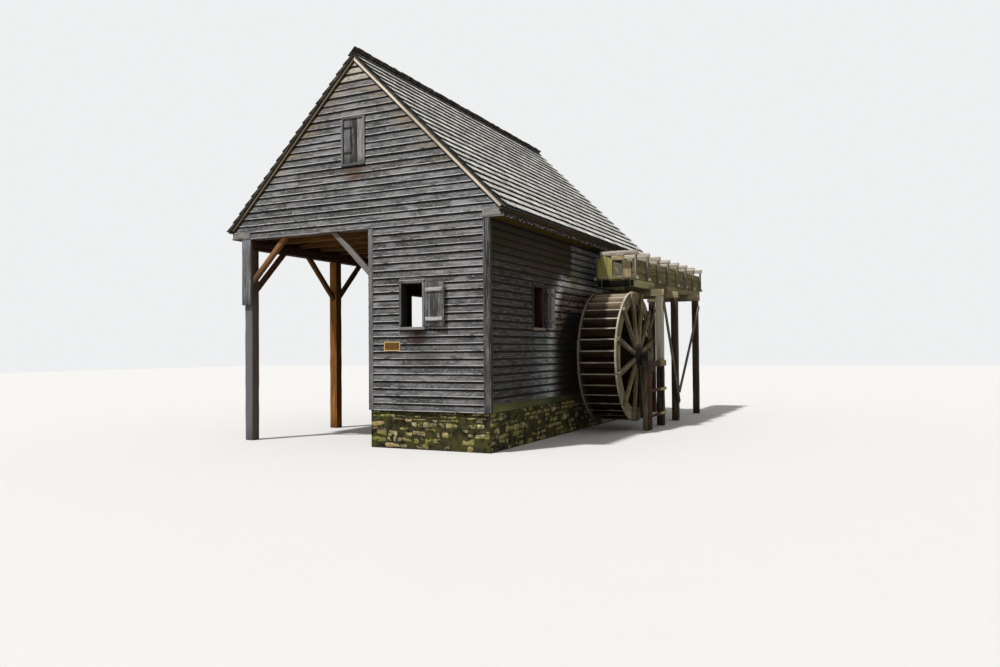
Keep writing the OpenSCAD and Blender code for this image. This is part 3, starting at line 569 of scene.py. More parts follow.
looks = {
    "front": woodLook((0.068, 0.068, 0.073), (0.30, 0.30, 0.305), (0.062, 0.062, 0.069), (1.12, 0.98, 0.84),
                      (0.012, 0.0115, 0.0115), 0.8, 0.5, (0.56, 0.56, 0.55), 0.55, ramp=(0.38, 0.64), patchy=0.65,
                      patchScale=(2.0, 2.0, 4.5), streak=(7, 40, 40), band=(2.0, 10, 10), fleckScale=(16, 70, 70)),
    # The wheel side's boards: dark partly as damp, weathered wood and partly as painted shade for a wall out of the sun
    "side": woodLook((0.010, 0.008, 0.005), (0.072, 0.062, 0.043), (0.026, 0.021, 0.013), (1.2, 0.9, 0.66),
                     (0.004, 0.0035, 0.003), 1.0, 0.6, (0.17, 0.16, 0.13), 0.5, ramp=(0.42, 0.60), patchy=0.5,
                     streak=(5, 40, 40), band=(1.0, 9, 9), fleckScale=(10, 60, 60)),
    "corner": woodLook((0.012, 0.011, 0.011), (0.19, 0.19, 0.187), (0.055, 0.053, 0.052), (1.1, 1.0, 0.88),
                       (0.012, 0.011, 0.011), 0.3, 0.4, (0.33, 0.33, 0.32), 0.4, ramp=(0.43, 0.57), streak=(3, 60, 60)),
    "jamb": woodLook((0.014, 0.011, 0.008), (0.115, 0.096, 0.072), (0.040, 0.032, 0.024), (1.1, 0.95, 0.85),
                     (0.006, 0.004, 0.003), 0.4),
    "trim": woodLook((0.085, 0.085, 0.09), (0.27, 0.27, 0.275), (0.15, 0.15, 0.16), (1.15, 1.0, 0.85),
                     (0.02, 0.018, 0.017), 0.45, 0.4, (0.45, 0.45, 0.44), 0.35),
    "return": woodLook((0.095, 0.090, 0.085), (0.36, 0.345, 0.32), (0.19, 0.18, 0.168), (1.1, 0.99, 0.9),
                       (0.03, 0.026, 0.022), 0.4, 0.5, (0.55, 0.53, 0.50), 0.5),
    "rake": woodLook((0.48, 0.40, 0.30), (0.94, 0.86, 0.72), (0.74, 0.65, 0.53), (1.1, 0.98, 0.85),
                     (0.05, 0.036, 0.024), 0.4, 0.5, (0.72, 0.64, 0.52), 0.4),
    "shingle": woodLook((0.24, 0.24, 0.22), (0.88, 0.88, 0.84), (0.46, 0.46, 0.42), (1.02, 0.97, 0.88),
                        (0.06, 0.055, 0.048), 0.6, ramp=(0.38, 0.60), patchy=0.45),
    "comb": woodLook((0.022, 0.020, 0.017), (0.105, 0.098, 0.085), (0.045, 0.041, 0.034), (1.05, 0.97, 0.9),
                     (0.01, 0.009, 0.008), 0.7),
    "timber": woodLook((0.16, 0.060, 0.012), (0.51, 0.222, 0.050), (0.27, 0.115, 0.028), (1.05, 0.95, 0.8),
                       (0.03, 0.012, 0.005), 0.3, 0.4),
    "joist": woodLook((0.045, 0.019, 0.005), (0.21, 0.094, 0.026), (0.10, 0.045, 0.013), (1.15, 0.95, 0.75),
                      (0.012, 0.006, 0.003), 0.5),
    # Painted shade: the plate's look is a darker copy of the joists', for a beam in shade
    "plate": woodLook((0.022, 0.010, 0.004), (0.115, 0.052, 0.020), (0.055, 0.025, 0.010), (1.05, 0.95, 0.8),
                      (0.006, 0.003, 0.002), 0.4, 0.4),
    "inside": woodLook((0.030, 0.018, 0.011), (0.14, 0.086, 0.054), (0.062, 0.037, 0.023), (1.1, 0.9, 0.7),
                       (0.008, 0.005, 0.004), 0.4),
    "shutter": woodLook((0.022, 0.022, 0.023), (0.165, 0.165, 0.162), (0.05, 0.05, 0.053), (1.1, 1.0, 0.9),
                        (0.012, 0.011, 0.011), 1.0, 0.3, (0.42, 0.42, 0.41), 0.5),
    "wheel": woodLook((0.065, 0.050, 0.028), (0.33, 0.285, 0.185), (0.125, 0.102, 0.058), (1.1, 0.95, 0.75),
                      (0.02, 0.015, 0.009), 0.5, 0.6, (0.50, 0.45, 0.34), 0.5),
    "hub": woodLook((0.010, 0.007, 0.005), (0.052, 0.038, 0.026), (0.022, 0.016, 0.011), (1.1, 0.95, 0.8),
                    (0.005, 0.004, 0.003), 0.4, 0.4),
    "bucket": woodLook((0.012, 0.0075, 0.004), (0.088, 0.056, 0.033), (0.026, 0.016, 0.009), (1.25, 0.95, 0.7),
                       (0.006, 0.004, 0.003), 0.5, 0.8, ramp=(0.43, 0.62), rough=0.5),
    "trestle": woodLook((0.050, 0.038, 0.022), (0.21, 0.175, 0.115), (0.095, 0.076, 0.048), (1.15, 0.93, 0.68),
                        (0.015, 0.011, 0.007), 0.6, 0.6, (0.33, 0.29, 0.21), 0.4),
    "flume": woodLook((0.036, 0.027, 0.012), (0.34, 0.28, 0.145), (0.145, 0.118, 0.060), (1.2, 0.95, 0.7),
                      (0.009, 0.007, 0.004), 0.5, 0.6),
    "beam": woodLook((0.060, 0.053, 0.018), (0.26, 0.23, 0.10), (0.125, 0.112, 0.040), (1.15, 0.97, 0.75),
                     (0.012, 0.010, 0.006), 0.6),
    "gate": woodLook((0.085, 0.070, 0.034), (0.30, 0.26, 0.13), (0.17, 0.145, 0.065), (1.1, 0.95, 0.78),
                     (0.02, 0.016, 0.009), 0.35, 0.4, ramp=(0.40, 0.62)),
    "cleat": woodLook((0.13, 0.115, 0.088), (0.40, 0.37, 0.31), (0.24, 0.215, 0.17), (1.1, 0.95, 0.80),
                      (0.03, 0.025, 0.02), 0.6, 0.5, (0.55, 0.51, 0.44), 0.4),
    "tie": woodLook((0.30, 0.255, 0.205), (0.88, 0.81, 0.71), (0.56, 0.495, 0.415), (1.1, 0.95, 0.80),
                    (0.05, 0.04, 0.03), 0.6, 0.5, (0.78, 0.73, 0.66), 0.4),
}
splash = {"radius": 1.78, "roofZ": 2.68, "ragged": 0.30, "topZ": 3.00,
          "slateY": -1.46,      # the arc's front end
          # The painted shade under the eave is a dark brown that fades in between two heights
          "dryZ": (2.9, 1.5), "greyZ": (3.2, 2.0), "eaveShadeZ": (2.85, 3.55), "fogZ": (3.0, 1.7), "limeZ": (1.6, 2.2),
          "dry": (0.046, 0.047, 0.045), "grey": (0.165, 0.168, 0.160), "eaveShade": (0.030, 0.020, 0.006),
          "fog": (0.35, 0.375, 0.385), "lime": (0.84, 0.86, 0.86), "brown": (0.30, 0.205, 0.145),
          "wet": (0.004, 0.0035, 0.003), "slate": (0.20, 0.205, 0.212), "moss": (0.16, 0.165, 0.028)}


def splashStain(kit, base):
    # The wheel's spray: past is how far a place lies inside an arc round the axle, whose ends run straight down
    # below the axle.
    # Pale lime lies outside the arc with a grey haze round it, and inside it the wall is brown high up
    # and soaked black lower down.
    # Dry grey streaks cross the lower wall; under the eave the wall is painted dark brown as shade,
    # and slate grey beside the trough.
    _, y, z = split(kit.place)
    streak, patch, topZ, slateY = kit.streak, kit.patch, splash["topZ"], splash["slateY"]
    dy, dz = y - axleY, maths("MAXIMUM", z - axleZ, 0.0)
    ragged = (streak - 0.5) * splash["ragged"]
    past = maths("MINIMUM", splash["radius"] - maths("SQRT", dy * dy + dz * dz), splash["roofZ"] - z) + ragged
    streaked = between(streak, 0.36, 0.6) * 0.65 + 0.35
    colour = mix(between(z, *splash["dryZ"]) * 0.55, base, splash["dry"])
    colour = mix(between(z, *splash["greyZ"]) * between(streak, 0.38, 0.68) * 0.62, colour, splash["grey"])
    # Painted shade: the wall under the eave darkened to brown
    colour = mix(between(z + patch * 0.5, *splash["eaveShadeZ"]) * 0.85, colour, splash["eaveShade"])
    soft = past / (between(z, 1.9, 1.3) * 1.8 + 1.0)              # the arc's edge is softer near the ground
    edge = between(soft, 0.14, -0.12)
    fog = between(past, -1.25, -0.10) * edge * between(z + patch * 1.2, *splash["fogZ"])
    colour = mix(fog * streaked * (between(patch, 0.38, 0.62) * 0.45 + 0.55), colour, splash["fog"])
    lower = between(z, topZ, topZ - 0.25)                         # the arc fades out under the eave
    haze, core = between(past, -0.50, -0.10) * edge, between(past, -0.28, -0.12) * edge
    lime = (haze * 0.25 + core * 0.75) * (between(z, *splash["limeZ"]) * 0.55 + 0.45)
    colour = mix(lime * lower * streaked, colour, splash["lime"])
    behind = between(soft, -0.06, 0.18) * lower
    brown = mix(between(streak, 0.38, 0.62), splash["wet"], splash["brown"])
    colour = mix(behind * 0.92, colour, brown)
    soaked = between(past + (z - 1.6) * -0.55, -0.02, 0.24)
    colour = mix(behind * soaked * 0.95, colour, splash["wet"])
    upper = between(y + ragged, slateY - 0.06, slateY + 0.06) * between(z, topZ - 0.36, topZ - 0.12)
    colour = mix(upper * streaked * 0.90, colour, splash["slate"])
    mossy = blob(kit.place, (right, slateY + 0.11, 2.85), (0.4, 0.36, 0.28), 0.8)
    return mix(mossy * streaked * 0.8, colour, splash["moss"])


def eaveDrips(kit, base):
    # Rows of pale drips along the boxed eave's lower edge, and a brown soffit
    z = split(kit.place)[axisZ]
    row = between(z, soffit + 0.004, soffit + 0.012) * between(z, soffit + 0.06, soffit + 0.035)
    dots = between(noise(kit.place, (1, 22, 30), 1.0, 0.5), 0.60, 0.66)
    colour = mix(row * dots * 0.9, base, (0.60, 0.58, 0.54))
    return mix(between(outward(axisZ), -0.4, -0.8) * 0.8, colour, (0.078, 0.047, 0.004))


window = {"x": bay + 0.826, "sideY": front + 1.78, "half": 0.19,
          "sill": stoneTop + 1.315, "tall": 0.69, "sillOut": 0.052}
loft = {"x": middle - 0.03, "half": 0.195, "sill": head + 1.11, "tall": 0.73}
frameTrim, clear = 0.045, 0.0003                      # a casing's width, and the gap between pieces that only touch
sideShutterY = window["sideY"] + window["half"] + frameTrim      # where the side shutter hangs
paleEdgeAndHighlight, windowX = (0.78, 0.78, 0.77), window["x"]
mossLine = (stoneTop + 0.125, stoneTop + 0.112)       # top of the mossy lowest course of the right wall
frontPosts, frontBrace = (front + 0.4, front + 0.2), (front + 0.35, front + 0.2)
wood("greySiding", "front", [
    # Each butt edge is lightened, partly as a painted highlight, and the last layer paints shade under each butt
    bleached(0.75), buttEdgeBleachAndHighlight(paleEdgeAndHighlight, 0.95), rakeTint,
    zone((0.88, 0.87, 0.86), 1.0, "MULTIPLY", even=True, z=(head + 0.1, head - 0.1)),
    stainAndShadeBlob((loft["x"], front, head + 0.94), (0.32, 0.2, 0.26), (0.135, 0.066, 0.030), 0.9),
    # Painted shade: a near-black patch under the window's sill and the open shutter stands for their shadow
    stainAndShadeBlob((windowX + 0.12, front, stoneTop + 1.17), (0.42, 0.2, 0.24), (0.030, 0.024, 0.024), 1.0),
    stainAndShadeBlob((windowX + 0.06, front, stoneTop + 1.16), (0.22, 0.2, 0.20), (0.050, 0.014, 0.010), 0.9),
    stainAndShadeBlob((windowX + 0.20, front, stoneTop + 0.86), (0.48, 0.2, 0.16), (0.070, 0.056, 0.054), 0.7), paintedShadeAndGrime(0.96)])
# The wheel side: its darkness is partly damp wood and partly painted shade
wood("shadedDampSiding", "side", [
    buttEdgeBleachAndHighlight((0.20, 0.18, 0.14), 0.35), splashStain, paintedShadeAndGrime(0.9),
    zone((0.085, 0.092, 0.036), 0.9, even=True, z=mossLine),
    zone((0.17, 0.185, 0.055), 0.8, z=mossLine, y=(front + 1.1, front + 0.2)),
    zone((0.022, 0.023, 0.009), 0.85, z=mossLine, y=(front + 1.9, front + 2.5))])
wood("baySiding", "front", [bleached(0.6), buttEdgeBleachAndHighlight(paleEdgeAndHighlight, 0.6), paintedShadeAndGrime(0.8)])
wood("timberWood", "timber", [
    facing("-x", (0.165, 0.150, 0.135), 0.85), facing("y", (0.165, 0.150, 0.135), 0.85),
    # Painted shade: the back posts' faces that look along +x, toward the room's wall, are painted nearly black
    facing("x", (0.030, 0.013, 0.003), 0.80, y=(front + 0.6, front + 0.8)),
    zone((0.120, 0.112, 0.100), 0.85, even=True, y=frontPosts),
    facing("-y", (0.155, 0.160, 0.175), 1.0, y=frontPosts),
    zone((0.045, 0.020, 0.008), 0.9, y=frontPosts, z=(2.3, 2.7))])
wood("braceWood", "joist", [
    zone((0.21, 0.195, 0.18), 1.0, y=frontBrace, x=(middle - 0.9, middle - 0.6)),
    zone((0.27, 0.135, 0.055), 0.9, y=frontBrace, x=(middle - 0.9, middle - 1.2), z=(2.7, 3.2)),
    zone((0.11, 0.095, 0.08), 0.8, y=frontBrace, x=(middle - 0.9, middle - 1.2), z=(3.1, 2.7))])
for label in ("trim", "return", "comb", "joist", "plate", "inside", "tie"):
    wood(label + "Wood", label)
wood("rakeWood", "rake", [rakeShadedEdges])
# Painted shade: the corner boards' faces toward the wheel side are painted dark, like that wall out of the sun
wood("cornerWood", "corner", [facing("x", (0.030, 0.032, 0.026), 0.75)])
wood("casingWood", "trim", [
    zone((0.055, 0.050, 0.047), 0.8, z=(head - 0.1, head - 0.2), x=(windowX - 0.12, windowX - 0.16)),
    facing("-x", (0.085, 0.040, 0.026), 0.85, x=(windowX + 0.10, windowX + 0.15)),
    # Painted shade: the casings' faces that look along +x, such as the left jamb inside the opening, are painted nearly
    # black
    facing("x", (0.020, 0.015, 0.012), 0.9, even=True),
    zone((0.42, 0.38, 0.32), 0.75, z=(stoneTop + 1.32, stoneTop + 1.31))])
wood("sideCasingWood", "jamb", [
    zone((0.27, 0.225, 0.165), 0.85, z=(stoneTop + 1.325, stoneTop + 1.315)),
    zone((0.028, 0.009, 0.005), 0.95, even=True, x=(right + 0.004, right - 0.012))])
wood("shingleWood", "shingle", [
    # Painted shade: each shingle's butt is painted nearly black, and a dark band under the course above stands for its
    # shadow
    markedEdgeTint(1.0, (0.020, 0.018, 0.016)), paintedShadeAndGrime(0.97, (0.014, 0.013, 0.011), 0.25, -0.53, -0.62),
    facing("-y", (0.034, 0.033, 0.031), 1.0, even=True), facing("y", (0.034, 0.033, 0.031), 1.0, even=True)])
wood("shutterWood", "shutter", [
    markedEdgeTint(0.85, (0.66, 0.65, 0.61)),
    zone((0.010, 0.009, 0.008), 0.9, x=(right - 0.01, right), y=(sideShutterY + 0.13, sideShutterY + 0.12)),
    zone((0.175, 0.195, 0.195), 0.8, x=(right - 0.01, right), y=(sideShutterY + 0.255, sideShutterY + 0.265))])
wood("wheelWood", "wheel", [markedEdgeTint(0.85, (0.66, 0.61, 0.49)), moss(0.45, (0.10, 0.090, 0.030), 7.0, 0.2)])
# Painted shade: the inner rim uses the darker trestle look, and its faces that look along +x are darker still
wood("shadedInnerRimWood", "trestle", [facing("x", (0.022, 0.014, 0.008), 0.9), markedEdgeTint(0.85, (0.33, 0.285, 0.205))])
wood("bucketWood", "bucket", [
    # Painted sunlight: the buckets near the wheel's top are painted lighter brown, as if lit from above
    zone((0.30, 0.235, 0.155), 0.85, z=(axleZ + 0.72, axleZ + 1.12)), markedEdgeTint(0.95, (0.60, 0.54, 0.43))])
wood("trestleWood", "trestle", [
    zone((0.68, 0.63, 0.48), 0.95, y=(0.9, 0.6), z=(1.25, 1.38)),
    zone((0.042, 0.023, 0.012), 0.75, y=(0.9, 1.2, 2.3, 2.0)),
    zone((0.030, 0.018, 0.010), 0.75, y=(3.1, 3.4)),
    zone((0.010, 0.008, 0.006), 0.9, z=(1.35, 1.15), y=(0.9, 0.6, -0.2, 0.1))])
wood("thinBraceWood", "trestle", [facing("-y", (0.28, 0.26, 0.22), 0.6)])
wood("bearingWood", "trestle", [
    facing("x", (0.040, 0.015, 0.005), 0.95, even=True, y=(0.1, -0.1)),
    facing("-y", (0.30, 0.245, 0.14), 0.8, y=(-0.20, -0.14)),
    facing("x", (0.62, 0.49, 0.19), 0.9, y=(-0.05, 0.15)), zone((0.035, 0.018, 0.009), 0.8, z=(1.05, 1.15))])
wood("flumeWood", "flume", [
    # Painted shade: the floor boards at the trough's lower, near end are painted nearly black, as the shade under the
    # trough
    moss(0.6, (0.13, 0.115, 0.030), 3.5, 0.25), zone((0.008, 0.007, 0.004), 0.9, z=(2.895, 2.875))])
wood("gateWood", "gate", [
    zone((0.40, 0.36, 0.115), 0.9, x=(2.575, 2.565)), zone((0.095, 0.070, 0.050), 0.85, x=(2.762, 2.768)),
    zone((0.46, 0.36, 0.21), 0.9, x=(2.762, 2.768), z=(3.085, 3.060)),
    zone((0.125, 0.115, 0.090), 0.85, x=(2.572, 2.580, 2.762, 2.750)),
    zone((0.50, 0.41, 0.25), 0.85, z=(2.948, 2.936)),
    zone((0.52, 0.40, 0.24), 0.95, z=(3.238, 3.246), x=(2.552, 2.556))])
wood("beamWood", "beam", [
    zone((0.42, 0.39, 0.195), 0.85, y=(0.62, 0.58)), zone((0.075, 0.060, 0.030), 0.8, y=(0.60, 0.66, 1.60, 1.56)),
    zone((0.24, 0.215, 0.115), 0.85, y=(1.60, 1.63, 2.50, 2.40)), zone((0.20, 0.18, 0.10), 0.7, y=(3.0, 3.2)),
    # Painted shade with wet wood: the near end's faces toward the front are painted nearly black, as the shade under
    # the trough
    facing("-y", (0.006, 0.005, 0.003), 1.0, even=True, y=(-0.6, -0.8))])
wood("capWood", "joist", [
    # Painted sunlight: the second layer paints the outer cap's front face, past the trough, near-white cream as if in
    # sun
    facing("-y", (0.30, 0.25, 0.14), 0.9), facing("-y", (0.92, 0.82, 0.53), 1.0, x=(2.985, 3.0)),
    zone((0.10, 0.085, 0.045), 0.7, y=(1.0, 1.2)), facing("-y", (0.30, 0.26, 0.15), 0.8, y=(1.0, 1.2))])
wood("cleatWood", "cleat", [
    # Painted shade: the cleats' faces that look along +x are painted darker, as faces turned from the light
    facing("x", (0.110, 0.092, 0.058), 0.9, even=True), zone((0.045, 0.038, 0.018), 0.9, x=(2.6, 2.5)),
    zone((0.16, 0.135, 0.085), 0.6, z=(3.05, 2.95))])
for name, lookName, way in (
        ("insideXWood", "inside", "x"), ("insideYWood", "inside", "y"), ("hubXWood", "hub", "x")):
    wood(name, lookName, grain=way)
browned = (soffit + 0.105, soffit + 0.115, soffit + 0.135, soffit + 0.125)      # a strip near the top of the boxed eaves
# Painted shade: the eave boards are painted nearly black, for the shade under the shingles' edge, above a brown strip
wood("eaveWood", "side", [zone((0.19, 0.105, 0.035), 0.8, even=True, z=browned), eaveDrips],
     grain="y", dark=(0.010, 0.007, 0.004), light=(0.044, 0.033, 0.022))


def iron(name, look):
    # Rusted iron: dark scale with orange patches, pitted; a plate has a bright rim, where its nearest edge
    # is closer than the rim's width
    place = startMaterial(name)
    rust, pits = noise(place, 14.0, 6.0, 0.7), noise(place, 90.0, 3.0, 0.6)
    colour = mix(between(rust, 0.42, 0.62), look["dark"], look["rust"])
    colour = mix(between(pits, 0.55, 0.7), colour, look["bright"])
    if "rim" in look:
        (x, _, z), ((x0, x1), _, (z0, z1)) = split(place), spans("plaque")
        nearest = maths("MINIMUM", maths("MINIMUM", x - x0, x1 - x), maths("MINIMUM", z - z0, z1 - z))
        colour = mix(between(nearest, look["rimWidth"], look["rimWidth"] - 0.003), colour, look["rim"])
    surface(colour, rust * 0.45 + 0.42, rust + pits * 0.4, 0.5, 0.003, 0.2, look["metal"])


def stone(name, look):
    # Mottled stone with fine specks; stones differ in brightness and some are brown, and moss grows in patches
    place = startMaterial(name)
    tone = split(put("Attribute", out="Vector", attribute_name="tone"))
    mottled, specks = noise(place, 11.0, 6.0, 0.68), noise(place, 120.0, 2.0, 0.6)
    colour = mix(between(mottled, 0.35, 0.68), look["dark"], look["light"])
    colour = mix(between(tone[1], 0.5, 0.9) * 0.8, colour, look["brown"])
    colour = times(colour, tone[0] * 0.9 + 0.55)
    colour = mix(between(noise(place, 5.0, 4.0, 0.7), 0.44, 0.62) * look["mossy"], colour, look["moss"])
    surface(colour, 0.88, mottled + specks * 0.25, 0.8, 0.008)


iron("oldIron", {"dark": (0.012, 0.010, 0.009), "rust": (0.040, 0.020, 0.012),
                 "bright": (0.075, 0.045, 0.028), "metal": 0.15})
iron("agedPlate", {"dark": (0.095, 0.043, 0.009), "rust": (0.170, 0.088, 0.018),
                   "bright": (0.25, 0.14, 0.034), "metal": 0.3,
                   "rim": (0.60, 0.42, 0.16), "rimWidth": 0.016})
stone("fieldstone", {"dark": (0.022, 0.020, 0.010), "light": (0.50, 0.44, 0.25), "brown": (0.31, 0.22, 0.105),
                     "moss": (0.25, 0.235, 0.045), "mossy": 0.75})
stone("mortar", {"dark": (0.020, 0.019, 0.010), "light": (0.110, 0.098, 0.056), "brown": (0.066, 0.048, 0.024),
                 "moss": (0.076, 0.074, 0.018), "mossy": 0.7})
print("materials made:", len(bpy.data.materials))


siding = {"exposure": 0.117, "lap": 0.022, "butt": 0.0165, "top": 0.004, "waveHeight": 0.0022, "waveOut": 0.002,
          "boardLength": 2.9, "firstBoard": (0.25, 1.0), "nextBoards": (0.7, 1.2),      # shares of the board length
          "lastBoard": 0.5, "joint": 0.003, "uneven": 0.003, "stations": 12, "least": 0.012,
          "under": 0.012,      # the gap below the roof boards
          "jamb": 0.07}        # how far the boards stop beside and under the bay's doorway
corner = {"front": 0.100, "bay": 0.088, "side": 0.050, "thick": front - low("corner_boards", axisY),
          "strip": (0.021, 0.020)}      # depth and height of the strip under the lowest course, over the bay
eaveReach = high("eave_boxes", axisX) - right
walls = {"front": lambda a, h, out: (a, front - out, h),      # a point at a height, and so far off the wall
         "back": lambda a, h, out: (a, back + out, h),
         "right": lambda a, h, out: (right + out, a, h),
         "bay": lambda a, h, out: (bay - out, a, h)}


def rowHeights(bottom, top):
    # Butt heights of the courses, a few millimetres off even steps
    number = int(round((top - bottom) / siding["exposure"]))
    heights = bottom + np.arange(number + 1) * siding["exposure"]
    heights[1:] += np.clip(chance.normal(0, siding["uneven"], number), -2 * siding["uneven"], 2 * siding["uneven"])
    return heights


def cutHoles(board, holes):
    # A board (from, to, bottom, top) without what lies in the holes: what is left beside, under and over them
    pieces, least = [board], siding["least"]
    for a0, a1, h0, h1 in holes:
        cut = []
        for p, q, z0, z1 in pieces:
            if q <= a0 or p >= a1 or z1 <= h0 or z0 >= h1:
                cut.append((p, q, z0, z1))
                continue
            middlePart = max(p, a0), min(q, a1)
            cut += [piece for piece, stays in (
                ((p, a0, z0, z1), p < a0), ((a1, q, z0, z1), q > a1),
                ((*middlePart, z0, h0), z0 < h0 - least), ((*middlePart, h1, z1), z1 > h1 + least)) if stays]
        pieces = cut
    return [piece for piece in pieces if piece[1] - piece[0] >= least]


def clapboards(wall, rows, span, holes):
    # Boards in courses: span(butt, top) gives a course's runs (from, to, lean of both ends, bottom, top),
    # which are cut into boards.
    # Each board's outline, thick at its butt, is carried along the course and waves a little up and outwards.
    found = []
    for butt, shown in zip(rows[:-1], rows[1:]):
        course = []
        for start, end, leanA, leanB, z0, z1 in span(butt, shown):
            marks = [start, end]
            mark = start + siding["boardLength"] * chance.uniform(*siding["firstBoard"])
            while mark < end - siding["lastBoard"]:
                marks.append(mark)
                mark += siding["boardLength"] * chance.uniform(*siding["nextBoards"])
            marks.sort()
            course += [(a + siding["joint"] * (a > start), b, z0, z1, leanA * (a == start), leanB * (b == end))
                       for a, b in zip(marks[:-1], marks[1:])]
        for a, b, z0, z1, leanA, leanB in course:
            tone = boardTones(1)[0]
            found += [(*piece, leanA * (piece[0] == a), leanB * (piece[1] == b), *tone)
                      for piece in cutHoles((a, b, z0, z1), holes)]
    table = np.array(found)
    p, q, z0, z1, leanA, leanB = (table[:, i, None] for i in range(6))
    full = z1 - z0 + siding["lap"] * (z1 - z0 > 0.06)
    s = np.linspace(0, 1, siding["stations"])[None, :] + 0 * p
    drop = siding["waveHeight"] * wander(s * (q - p), 1.6)
    bulge = siding["waveOut"] * wander(s * (q - p), 1.1)
    butt, thin, exposure = siding["butt"], siding["top"], siding["exposure"]
    # The outline from the butt up: height over the butt, distance off the wall and the course's mark
    outline = [(0.0, thin * 0.8, 1), (0.001, butt * 0.93, 0.99), (0.004, butt, 0.966),
               (0.40 * exposure, butt * 0.72, 0.60), (0.75 * exposure, butt * 0.5, 0.25),
               (np.inf, thin, -0.188), (np.inf, 0.0005, -0.188)]
    heights, outs, marks = [], [], []
    for number, (rise, out, mark) in enumerate(outline):
        rise = full if rise == np.inf else np.minimum(rise, full * (0.3 + 0.1 * number))
        heights.append(z0 + rise + drop * (number < 4))
        outs.append(out + (bulge * 0.6 + abs(drop)) * (0 < number < 5))
        marks.append(mark + 0 * drop)
    h, out, mark = (np.stack(values, 2) for values in (heights, outs, marks))
    rise, s = h - z0[:, :, None], s[:, :, None]
    a = (p[:, :, None] + leanA[:, :, None] * rise) * (1 - s) + (q[:, :, None] + leanB[:, :, None] * rise) * s
    tone = stacked(table[:, 6, None, None], table[:, 7, None, None], mark)
    return loftShell(stacked(*walls[wall](a, h, np.maximum(out, 0.0005))), shifted(np.stack([a, h, out], -1)), tone)


def gableReach(height):
    # Half the width that the siding covers at a height on a gable end, out to the boxed eaves' ends
    # or up to the roof
    if height < soffit + 0.10:
        return right - middle
    return min(right - middle + eaveReach, (apex - height - siding["under"]) / slope)


def gableSpan(butt, shown):
    # Ends of a course on a gable end: the room's part below the gable, the whole width over it,
    # cut to the roof's slope
    if butt < head - 0.001:
        room = (bay + corner["bay"], right - corner["front"], 0, 0, butt, shown)
        return [room, (left, bay + corner["bay"], 0, 0, head, shown)] if shown > head + 0.03 else [room]
    shown = min(shown, apex - 0.03)
    reach, nextReach = gableReach(butt), min(gableReach(shown), gableReach(butt) + 0.001)
    lean = (nextReach - reach) / (shown - butt)
    return [(middle - reach, middle + reach, -lean, lean, butt, shown)] if reach > 0.06 else []


def opening(centre, size):
    # The hole that a casing fills
    reach = size["half"] + frameTrim
    return centre - reach, centre + reach, size["sill"] - frameTrim, size["sill"] + size["tall"] + frameTrim


endHoles = [opening(window["x"], window), opening(loft["x"], loft)]
doorway = (high("bay_wall_front", axisY) - siding["jamb"], low("bay_wall_back", axisY) + siding["jamb"],
           stoneTop - 0.1, low("bay_wall_lintel", axisZ) + siding["jamb"])
endRows = rowHeights(stoneTop, apex)
for wall, finish in (("front", "greySiding"), ("back", "baySiding")):
    makePiece(wall + "_siding", "grey_siding", finish, [clapboards(wall, endRows, gableSpan, endHoles)])
for wall, finish, top, inset, hole in (
        ("right", "shadedDampSiding", soffit, corner["side"], opening(window["sideY"], window)),
        ("bay", "baySiding", head, 0.002, doorway)):
    rows = rowHeights(stoneTop, top)
    rows[-1] = top - siding["lap"]
    makePiece(wall + "_siding", "grey_siding", finish, [clapboards(
        wall, rows, lambda butt, shown: [(front + inset, back - inset, 0, 0, butt, shown)], [hole])])
print("clapboards hung")


roof = {"courses": 19, "exposure": 0.2012, "lap": 0.075, "butt": 0.014, "thin": 0.005, "headDrop": 0.0355,
        "width": (0.085, 0.185), "narrowest": 0.05, "gap": 0.005,
        "deck": 0.028, "deckBoards": 20, "deckStart": 0.02, "deckInset": 0.004, "deckGap": 0.004,
        "uneven": 0.004, "farthestUp": 0.012, "lift": 0.0025, "tilt": 0.003}      # how irregular the shingles lie
deckStyle = {"stations": 6, "edge": 0.003, "wear": 0.3, "rough": 0.001, "corner": 2}
comb = {"length": 0.21, "thick": 0.019, "width": (0.09, 0.17), "gap": 0.003, "ragged": 0.012}
combStyle = {"stations": 4, "edge": 0.003, "wear": 0.4, "rough": 0.001, "corner": 2}
(roofFront, roofBack), (_, ridgeTop) = spans("right_roof")[1:]
pitch = math.atan(slope)
roofThick = (ridgeTop - apex) * math.cos(pitch)
slopeLength = (high("right_roof", axisX) - middle) / math.cos(pitch)


def roofPlace(side, down, lift, y):
    # A point on a slope: so far down from the ridge, and so far over the top of the shingles
    x = middle + side * (down * math.cos(pitch) + lift * math.sin(pitch))
    return stacked(x, y, ridgeTop - down * math.sin(pitch) + lift * math.cos(pitch))


def cutRun(start, end, width, least, share=1.0):
    # Pieces of a run, each as wide as a draw, with none at the end narrower than least;
    # share narrows the first one
    while start < end:
        stop = min(start + chance.uniform(*width) * share, end)
        if end - stop < least:
            stop = end
        yield start, stop
        start, share = stop, 1.0


